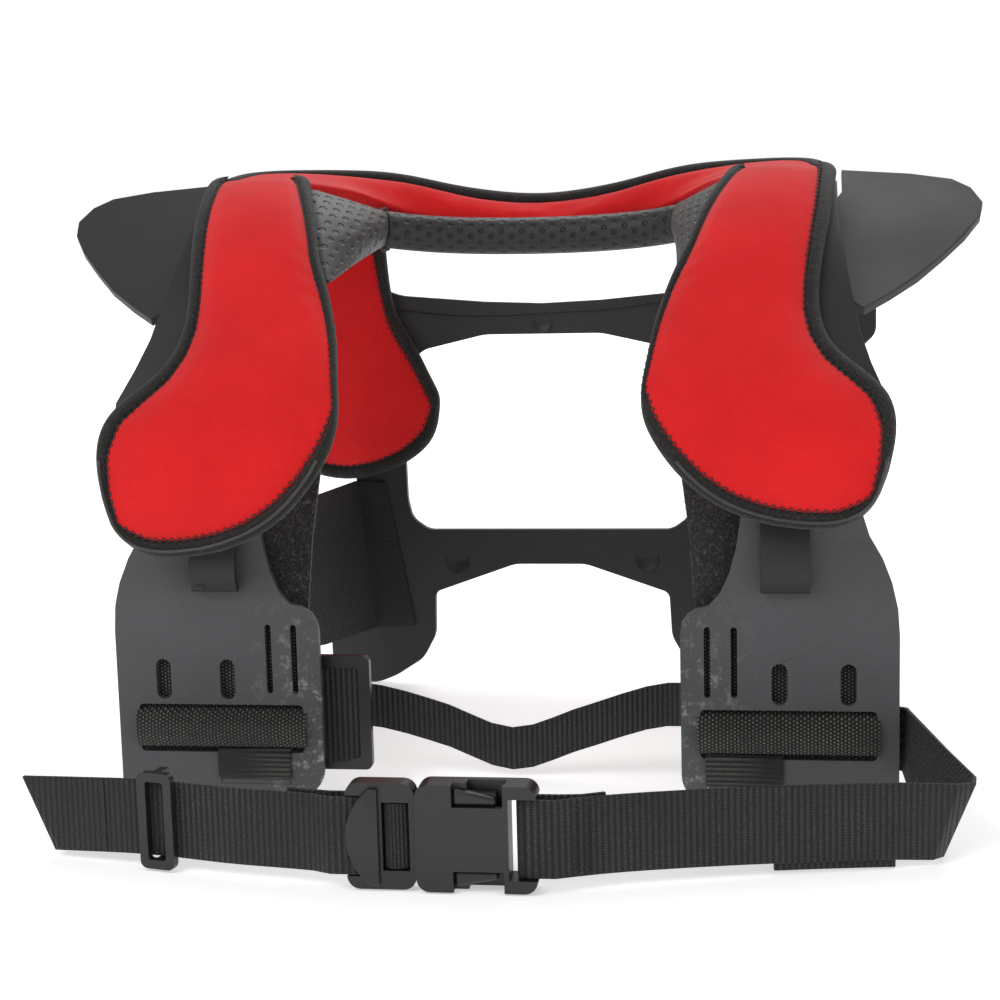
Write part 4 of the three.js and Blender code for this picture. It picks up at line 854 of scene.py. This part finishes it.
for side, sign in SIDES.items():
    wall = padded_copy(f"neck_wall_{side}", f"neck_wall_{side}_cover", 3, 2, 0.7 * MM)
    inner_faces = [f for f in wall.data.polygons if f.normal.x * sign < -0.3]
    facing = sum((f.normal * f.area for f in inner_faces), Vector()).normalized()
    run = Vector((0, 0, 1)).cross(facing).normalized()
    rise = facing.cross(run)
    cloth_map(wall, lambda co: (co.dot(run) * WALL_LENGTH_SHARE / MM, co.dot(rise) / MM))
    hand_in(wall, wall_fabric, slots[f"neck_wall_{side}"], f"neck_wall_{side}")
    seam_x = sign * WELT["x"]
    seam_y, seam_z = (np.interp(seam_x, middle_x, middle) for middle in (middle_y, middle_z))
    bpy.ops.mesh.primitive_torus_add(
        location=(seam_x, seam_y, seam_z),
        rotation=(0, math.pi / 2, 0),
        major_segments=40,
        minor_segments=8,
        major_radius=WELT["radius"],
        minor_radius=WELT["thick"],
    )
    welt = settled(f"roll_seam_{side}")
    for v in welt.data.vertices:
        turn = math.atan2(v.co.z - seam_z, v.co.y - seam_y)
        v.co.x += WELT["wave"] * math.sin(WELT["waves"] * turn)
    smooth(welt, 80)
    hand_in(welt, binding_tape, "perforated_cloth")
    print(f"{wall.name}: {triangles(wall)} triangles")

# %% [markdown]
# ## Moulded pieces
# Shells, wings, plates and buckle parts are hard, and their solids already have the right shape. What
# a moulding adds is a small rounded edge everywhere, which catches a thin line of light. A bevel that
# only takes the sharp edges does this, and weighted normals keep the flat faces flat. The back plate's
# outline is made of straight runs, so its corners are rounded first.


# %% Moulded pieces
def round_outline(piece, width):
    with editing(piece, None):
        bpy.ops.mesh.select_mode(type="EDGE")
        bpy.ops.mesh.select_all(action="DESELECT")
        mesh = bmesh.from_edit_mesh(piece.data)
        for edge in mesh.edges:
            along = (edge.verts[1].co - edge.verts[0].co).normalized()
            bent = len(edge.link_faces) == 2 and edge.calc_face_angle(0) > math.radians(6)
            if abs(along.y) > 0.9 and bent:
                edge.select_set(True)
        bmesh.update_edit_mesh(piece.data)
        bpy.ops.mesh.bevel(offset=width, segments=4, clamp_overlap=True)


def mould(piece, edge, paint, slot, *nodes):
    soften_edges(piece, edge * MM, 2)
    smooth(piece, 40)
    modify(piece, "WEIGHTED_NORMAL", keep_sharp=True, weight=80)
    hand_in(piece, paint, slot, *nodes)


MOULDED = {
    "shoulder_shell": {"paint": shell_plastic, "edge": 0.7, "sides": True},
    "wing": {"paint": shell_plastic, "edge": 0.6, "sides": True},
    "chest_plate": {"paint": plate_plastic, "edge": 0.55, "sides": True},
    "clip_tongue": {"paint": frame_plastic, "edge": 0.5, "sides": True},
    "back_plate": {"paint": frame_plastic, "edge": 1.0, "sides": False, "corner": 6},
    "ladder_lock": {"paint": buckle_plastic, "edge": 0.7, "sides": False},
    "tri_glide": {"paint": buckle_plastic, "edge": 0.6, "sides": False},
}
for kind, row in MOULDED.items():
    for node in [f"{kind}_{side}" for side in SIDES] if row["sides"] else [kind]:
        piece = copy_of(node, node + "_moulded")
        if "corner" in row:
            round_outline(piece, row["corner"] * MM)
        mould(piece, row["edge"], row["paint"], slots[node], node)
print(len(MOULDED), "kinds of moulded piece")

# %% [markdown]
# ## Buckle details
# The front of the buckle shows more than its solid: the press-in prongs lie open in two notches at the
# top and bottom of the larger half, and the smaller half has a half-round grip and a window in which
# the webbing turns round its bar. The notches and the window are cut with a boolean, and the grip is a
# short thick disc that is bisected and bevelled.


# %% Cut with a box
def box_piece(name, low, high):
    middle = [(a + b) / 2 * MM for a, b in zip(low, high)]
    bpy.ops.mesh.primitive_cube_add(size=1, location=middle)
    bpy.context.active_object.scale = [(b - a) * MM for a, b in zip(low, high)]
    return settled(name)


def cut_box(piece, low, high):
    cutter = box_piece("cutter", low, high)
    modify(piece, "BOOLEAN", operation="DIFFERENCE", object=cutter, solver="EXACT")
    bpy.data.objects.remove(cutter)


NOTCH_FROM, NOTCH_TO, NOTCH_DEEP = -2.5, 16.5, 8.2
BUCKLE_TOP, BUCKLE_FOOT = 41.3, 0.3
BEFORE, NOTCH_BACK, WINDOW_BACK = -158, -152, -149.2
WINDOW = {"from": -29.2, "to": -18.9, "low": 7.6, "high": 34}

female = copy_of("buckle_female", "buckle_female_body")
for low, high in ((BUCKLE_TOP - NOTCH_DEEP, BUCKLE_TOP + 2), (BUCKLE_FOOT - 2, BUCKLE_FOOT + NOTCH_DEEP)):
    cut_box(female, (NOTCH_FROM, BEFORE, low), (NOTCH_TO, NOTCH_BACK, high))
male = copy_of("buckle_male", "buckle_male_body")
cut_box(male, (WINDOW["from"], BEFORE, WINDOW["low"]), (WINDOW["to"], WINDOW_BACK, WINDOW["high"]))
for piece, node in ((female, "buckle_female"), (male, "buckle_male")):
    mould(piece, 0.5, buckle_plastic, slots[node], node)

# %% Prongs and grip
PRONG_FRONT, PRONG_BACK = -155.2, -150
PRONG_SLOPE_FROM, PRONG_DROP = 5, 3.2
PRONGS = {"top": {"low": 33.4, "high": 39.6, "outer": 1}, "foot": {"low": 2.0, "high": 8.2, "outer": -1}}
for name, row in PRONGS.items():
    near = (NOTCH_FROM + 0.3, PRONG_FRONT, row["low"])
    far = (NOTCH_TO - 2.5, PRONG_BACK, row["high"])
    prong = box_piece(f"buckle_prong_{name}", near, far)
    half_way = (row["low"] + row["high"]) / 2
    for v in prong.data.vertices:
        if v.co.x > PRONG_SLOPE_FROM * MM and (v.co.z / MM - half_way) * row["outer"] > 0:
            v.co.z -= row["outer"] * PRONG_DROP * MM
    soften_edges(prong, 1.3 * MM, 4)
    smooth(prong, 50)
    hand_in(prong, buckle_plastic, "black_plastic")

GRIP = {"x": -19.5, "y": -155.5, "z": 20.8, "radius": 23.4, "thick": 1.9}
GRIP_CUTS = (((0, 0, 39.4), (0, 0, 1)), ((0, 0, 2.2), (0, 0, -1)), ((-30.4, 0, 0), (1, 0, 0)))
bpy.ops.mesh.primitive_cylinder_add(
    vertices=96,
    radius=GRIP["radius"] * MM,
    depth=GRIP["thick"] * MM,
    location=(GRIP["x"] * MM, GRIP["y"] * MM, GRIP["z"] * MM),
    rotation=(math.pi / 2, 0, 0),
)
grip = settled("buckle_grip")
for point, normal in GRIP_CUTS:
    cut_at = [v * MM for v in point]
    with editing(grip):
        bpy.ops.mesh.bisect(plane_co=cut_at, plane_no=normal, use_fill=True, clear_outer=True)
soften_edges(grip, 0.6 * MM, 3)
smooth(grip, 40)
hand_in(grip, buckle_plastic, "black_plastic")
print("buckle has its notches, prongs, window and grip")

# %% Webbing in the buckle's window
TURN_Y, TURN_RADIUS, TURN_SHORTER = -151.2, 4.6, 0.8
turn_x = (WINDOW["from"] + WINDOW["to"]) / 2 * MM
turn_z = (WINDOW["low"] + WINDOW["high"]) / 2 * MM
bpy.ops.mesh.primitive_cylinder_add(
    vertices=32,
    radius=TURN_RADIUS * MM,
    depth=(WINDOW["high"] - WINDOW["low"] - TURN_SHORTER) * MM,
    location=(turn_x, TURN_Y * MM, turn_z),
)
turned_web = settled("belt_turn")
with editing(turned_web):
    bpy.ops.transform.resize(value=(1.05, 0.62, 1), center_override=(turn_x, TURN_Y * MM, 0))
soften_edges(turned_web, 0.5 * MM, 2)
smooth(turned_web, 50)
cloth_map(turned_web, lambda co: (co.x / MM * 1.6, co.z / MM))
hand_in(turned_web, belt_webbing, "black_webbing")
print("webbing turns in the buckle's window")

# %% [markdown]
# ## Low slots
# The solid's low slot is a little longer than the webbing loop in it. On the real plate nothing shows
# beside or under the loop, so small plastic blocks close the slot round it.

# %% Low slot ends
LOW_SLOT = {"inner": 83.6, "outer": 124.4, "low": 5.4, "high": 11.2, "under": 8.6}
PLATE_FRONT, PLATE_REAR = -46.4, -43.6


def slot_block(name, low, high):
    block = box_piece(name, low, high)
    soften_edges(block, 0.2 * MM, 2)
    hand_in(block, plate_plastic, "grey_plastic")


for side, sign in SIDES.items():
    low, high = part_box(f"slot_loop_{side}")
    near, far = sorted((abs(low.x) / MM, abs(high.x) / MM))
    for name, a, b in (("inner", LOW_SLOT["inner"], near - 0.2), ("outer", far + 0.2, LOW_SLOT["outer"])):
        left, right = sorted((sign * a, sign * b))
        first = (left, PLATE_FRONT, LOW_SLOT["low"])
        slot_block(f"slot_end_{name}_{side}", first, (right, PLATE_REAR, LOW_SLOT["high"]))
    first = (low.x / MM, PLATE_FRONT + 0.2, LOW_SLOT["low"])
    slot_block(f"slot_end_under_{side}", first, (high.x / MM, PLATE_REAR - 0.2, LOW_SLOT["under"]))
print("low slots are closed beside their loops")

# %% [markdown]
# ## Straps
# Straps keep the shape of their solids, because webbing is flat and stiff. Their UV map needs the
# length along the strap, also round a bar or a fold. It is found by walking over the mesh's own
# edges from the strap's end face: the shortest way to a point is its place along the strap.


# %% Strap maps
def end_face(piece, axis, far):
    mesh = bmesh.new()
    mesh.from_mesh(piece.data)
    caps = [f for f in mesh.faces if all(e.calc_face_angle(0) > 0.9 for e in f.edges)]
    caps = caps or list(mesh.faces)
    chosen = max(caps, key=lambda f: far * f.calc_center_median()[axis])
    start = [v.index for v in chosen.verts]
    mesh.free()
    return start


def lengths_from(piece, start):
    reach = {i: 0.0 for i in start}
    queue = [(0.0, i) for i in start]
    links = {}
    for a, b in (edge.vertices for edge in piece.data.edges):
        run = (piece.data.vertices[a].co - piece.data.vertices[b].co).length
        links.setdefault(a, []).append((b, run))
        links.setdefault(b, []).append((a, run))
    while queue:
        done, i = heapq.heappop(queue)
        if done > reach[i]:
            continue
        for j, run in links.get(i, ()):
            if done + run < reach.get(j, 1e9):
                reach[j] = done + run
                heapq.heappush(queue, (done + run, j))
    return reach


def strap_map(piece, axis, far, across):
    reach = lengths_from(piece, end_face(piece, axis, far))
    layer = piece.data.uv_layers.new(name="cloth")
    for face in piece.data.polygons:
        for corner, i in zip(face.loop_indices, face.vertices):
            layer.data[corner].uv = (reach[i] / MM, piece.data.vertices[i].co[across] / MM)


STRAPS = {
    "belt_left": {"paint": belt_webbing, "axis": 0, "far": 1, "across": 2},
    "belt_right": {"paint": belt_webbing, "axis": 0, "far": -1, "across": 2},
    "belt_tail": {"paint": belt_webbing, "axis": 0, "far": 1, "across": 2},
    "cross_strap": {"paint": belt_webbing, "axis": 0, "far": 1, "across": 2},
    "side_strap_left": {"paint": fine_webbing, "axis": 1, "far": 1, "across": 2},
    "side_strap_right": {"paint": fine_webbing, "axis": 1, "far": 1, "across": 2},
    "hook_loop_strap_left": {"paint": loop_mat, "axis": 2, "far": 1, "across": 0},
    "hook_loop_strap_right": {"paint": loop_mat, "axis": 2, "far": 1, "across": 0},
}
SLOT_WIDER = (1.06, 1, 1.03)
straps = {}
for node, row in STRAPS.items():
    piece = copy_of(node, node + "_woven")
    strap_map(piece, row["axis"], row["far"], row["across"])
    soften_edges(piece, 0.35 * MM, 2, 50)
    smooth(piece, 40)
    straps[node] = hand_in(piece, row["paint"], slots[node], node)
for side in SIDES:
    for kind, paint in (("slot_strap", basket_webbing), ("slot_loop", loop_webbing)):
        node = f"{kind}_{side}"
        piece = copy_of(node, node + "_woven")
        low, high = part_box(node)
        with editing(piece):
            bpy.ops.transform.resize(value=SLOT_WIDER, center_override=(low + high) / 2)
        soften_edges(piece, 0.5 * MM, 2, 50)
        smooth(piece, 60)
        cloth_map(piece, lambda co: (co.x / MM, co.z / MM))
        straps[node] = hand_in(piece, paint, slots[node], node)
print(len(straps), "straps")

# %% Strap in the ladder lock's window
LOCK_FILL = {"low": (-82.8, -35.7, 13.5), "high": (-60.2, -33.5, 55.5), "bow": 0.8}
strap_end = box_piece("cross_strap_end", LOCK_FILL["low"], LOCK_FILL["high"])
with editing(strap_end):
    bpy.ops.mesh.subdivide(number_cuts=4)
centre_x = (LOCK_FILL["low"][0] + LOCK_FILL["high"][0]) / 2
half_x = (LOCK_FILL["high"][0] - LOCK_FILL["low"][0]) / 2
for v in strap_end.data.vertices:
    v.co.y -= LOCK_FILL["bow"] * MM * math.cos((v.co.x / MM - centre_x) / half_x * math.pi / 2)
soften_edges(strap_end, 0.4 * MM, 2, 50)
smooth(strap_end, 50)
cloth_map(strap_end, lambda co: (co.x / MM, co.z / MM))
hand_in(strap_end, belt_webbing, "black_webbing")
print("the cross strap fills the ladder lock's window")

# %% [markdown]
# ## Fibres
# Loop tape never has a clean surface: fine nylon fibres stand up from it and blur its edges. Each
# fibre here is one thin triangle, scattered over the strap with a fixed random start, so that every
# run gives the same fur.

# %% Fibres
FIBRE_LENGTH = 1.5 * MM
FIBRE_WIDTH = 0.2 * MM
FIBRES_EACH = 6000
FIRST_SEED = 10


def fibres(name, piece, count, seed):
    random = np.random.default_rng(seed)
    faces = list(piece.data.polygons)
    areas = np.array([f.area for f in faces])
    picks = random.choice(len(faces), size=count, p=areas / areas.sum())
    corners, tris = [], []
    for pick in picks:
        face = faces[pick]
        ring = [piece.data.vertices[i].co for i in face.vertices]
        weights = random.dirichlet(np.ones(len(ring)))
        root = sum((p * w for p, w in zip(ring, weights)), Vector())
        lean = Vector(random.normal(size=3)).normalized()
        tip = root + (face.normal + lean * 0.9).normalized() * FIBRE_LENGTH * random.uniform(0.4, 1)
        side = face.normal.cross(lean).normalized() * FIBRE_WIDTH / 2
        corners += [root - side, root + side, tip]
        tris.append((len(corners) - 3, len(corners) - 2, len(corners) - 1))
    mesh = bpy.data.meshes.new(name)
    mesh.from_pydata(corners, [], tris)
    fur = bpy.data.objects.new(name, mesh)
    scene.collection.objects.link(fur)
    hand_in(fur, fibre_black, "hook_and_loop")


for seed, side in enumerate(SIDES, FIRST_SEED):
    fibres(f"loop_fibres_{side}", straps[f"hook_loop_strap_{side}"], FIBRES_EACH, seed)
print("fibres are scattered")

# %% [markdown]
# ## Mould marks and small parts
# The back plate carries three round ejector marks and a low ledge along its upper bar. Each mark
# starts as a short cylinder whose front is inset and pushed in, so that it reads as a shallow ring. It
# leans with the plate. The ledge is a thin bead that follows a smoothed line of points on the plate.

# %% Mould marks
LEAN = 0.095
PLATE_LEAN = math.atan(LEAN)
PLATE_FOOT_Y = 152.5
STAND_OUT = 0.1 * MM
MARKS = {
    "mould_mark_left": {"x": -47.6, "z": 65.3, "radius": 6.0},
    "mould_mark_right": {"x": 49.0, "z": 66.4, "radius": 6.0},
    "mould_mark_top": {"x": -0.4, "z": 188.0, "radius": 5.2},
}


def back_plate_y(z):
    return (PLATE_FOOT_Y - LEAN * z) * MM


for name, row in MARKS.items():
    z = row["z"]
    bpy.ops.mesh.primitive_cylinder_add(
        vertices=48,
        radius=row["radius"] * MM,
        depth=0.8 * MM,
        location=(row["x"] * MM, back_plate_y(z) - STAND_OUT, z * MM),
        rotation=(math.pi / 2 - PLATE_LEAN, 0, 0),
    )
    mark = settled(name)
    pick_faces(mark, lambda face: face.normal.y < -0.8)
    with editing(mark, None):
        bpy.ops.mesh.inset(thickness=0.8 * MM, depth=0)
        bpy.ops.mesh.inset(thickness=0.5 * MM, depth=-0.35 * MM)
    soften_edges(mark, 0.15 * MM, 2)
    smooth(mark, 40)
    hand_in(mark, frame_plastic, "black_plastic")
print(len(MARKS), "mould marks")

# %% Ledge on the upper bar
LEDGE = [
    (-77, 195.7),
    (-60, 193.4),
    (-46, 191.6),
    (-32, 190.8),
    (-7, 191.2),
    (6, 192.3),
    (30, 192.8),
    (46, 194.6),
    (63, 197.2),
]
LEDGE_STEP = 4 * MM
LEDGE_RADIUS = 0.55 * MM
ledge_line = [Vector((x * MM, back_plate_y(z) - STAND_OUT, z * MM)) for x, z in LEDGE]
ledge_line = evenly(ledge_line, LEDGE_STEP)
for _ in range(4):
    inner = [(a + b * 2 + c) / 4 for a, b, c in zip(ledge_line, ledge_line[1:], ledge_line[2:])]
    ledge_line[1:-1] = inner
thread_along("back_plate_ledge", ledge_line, LEDGE_RADIUS, False, frame_plastic, "black_plastic", 3)
print("the upper bar has its ledge")

# %% Rivet bump on the left tongue
RIVET = {"place": (-124.4, -52.6, 93.6), "radius": 2.2, "flat": (1, 0.5, 0.85)}
rivet_at = [v * MM for v in RIVET["place"]]
bpy.ops.mesh.primitive_uv_sphere_add(
    segments=24, ring_count=12, radius=RIVET["radius"] * MM, location=rivet_at
)
bpy.context.active_object.scale = RIVET["flat"]
rivet = settled("tongue_rivet_left")
smooth(rivet, 80)
hand_in(rivet, frame_plastic, "black_plastic")
print("the left tongue has its rivet bump")

# %% [markdown]
# ## Piping
# Round the lower outside of each front lobe the tape is turned over a cord, which shows as a thin
# shiny line. It follows the outer edge of the binding's solid, as far up as the cord can be seen, and
# only the longest unbroken run of that edge is kept.


# %% Piping
def longest_run(line, jump):
    line = from_gap(line)
    runs = [[line[0]]]
    for before, place in zip(line, line[1:]):
        if (place - before).length > jump:
            runs.append([])
        runs[-1].append(place)
    return max(runs, key=len)


PIPING = 0.8 * MM
PIPING_TOP = 150 * MM
PIPING_STEP = 3 * MM
PIPING_JUMP = 8 * MM
LONG_LOOP = 250 * MM
for side in SIDES:
    node = f"front_binding_{side}"
    found = sharp_loops(node, 30)
    found = [loop for loop in found if length_of(loop) > LONG_LOOP]
    print(node, "loops in mm:", [round(length_of(loop) / MM) for loop in found])
    outer = max(found, key=length_of)
    line = longest_run([p for p in evenly(outer, PIPING_STEP) if p.z < PIPING_TOP], PIPING_JUMP)
    tape_tree = tree_of(bindings[f"front_{side}"])
    spots = []
    for place in line:
        spot, normal, _, _ = tape_tree.find_nearest(place)
        spots.append(spot + normal * PIPING * 0.3)
    thread_along(f"piping_{side}", spots, PIPING, False, piping_gloss, "binding_cloth", 2)
print("piping is on")

# %% [markdown]
# ## Seams of the belt
# Beside the larger buckle half the webbing is folded back and sewn to itself with close zigzag rows,
# and near its free end the belt has a pressed crease. Both are drawn on the front of the webbing: a
# point in front of the belt is dropped back onto the surface, as for the pads.

# %% Belt seams
SEAM_STEP = 1.1
SEAM_LIFT = 0.1 * MM
IN_FRONT = -0.2
TO_THE_BACK = Vector((0, 1, 0))
ZIGZAG = {"strap": "belt_right", "low": 4, "high": 34, "sway": 0.8, "radius": 0.3}
SEAMS = {
    "belt_seam_first": {**ZIGZAG, "x": 43.2},
    "belt_seam_second": {**ZIGZAG, "x": 47.4},
    "belt_crease": {
        "strap": "belt_left",
        "x": -144.5,
        "low": 3.5,
        "high": 33,
        "sway": 0.0,
        "radius": 0.35,
    },
}
for name, row in SEAMS.items():
    strap_tree = tree_of(straps[row["strap"]])
    points = []
    for i, z in enumerate(np.arange(row["low"], row["high"], SEAM_STEP)):
        x = row["x"] + (row["sway"] if i % 2 else -row["sway"])
        hit, normal, _, _ = strap_tree.ray_cast(Vector((x * MM, IN_FRONT, z * MM)), TO_THE_BACK)
        if hit is not None:
            points.append(hit + normal * SEAM_LIFT)
    thread_along(name, points, row["radius"] * MM, False, thread_black, "black_webbing")
print(len(SEAMS), "seams on the belt")

# %% Last steps
low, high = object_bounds()
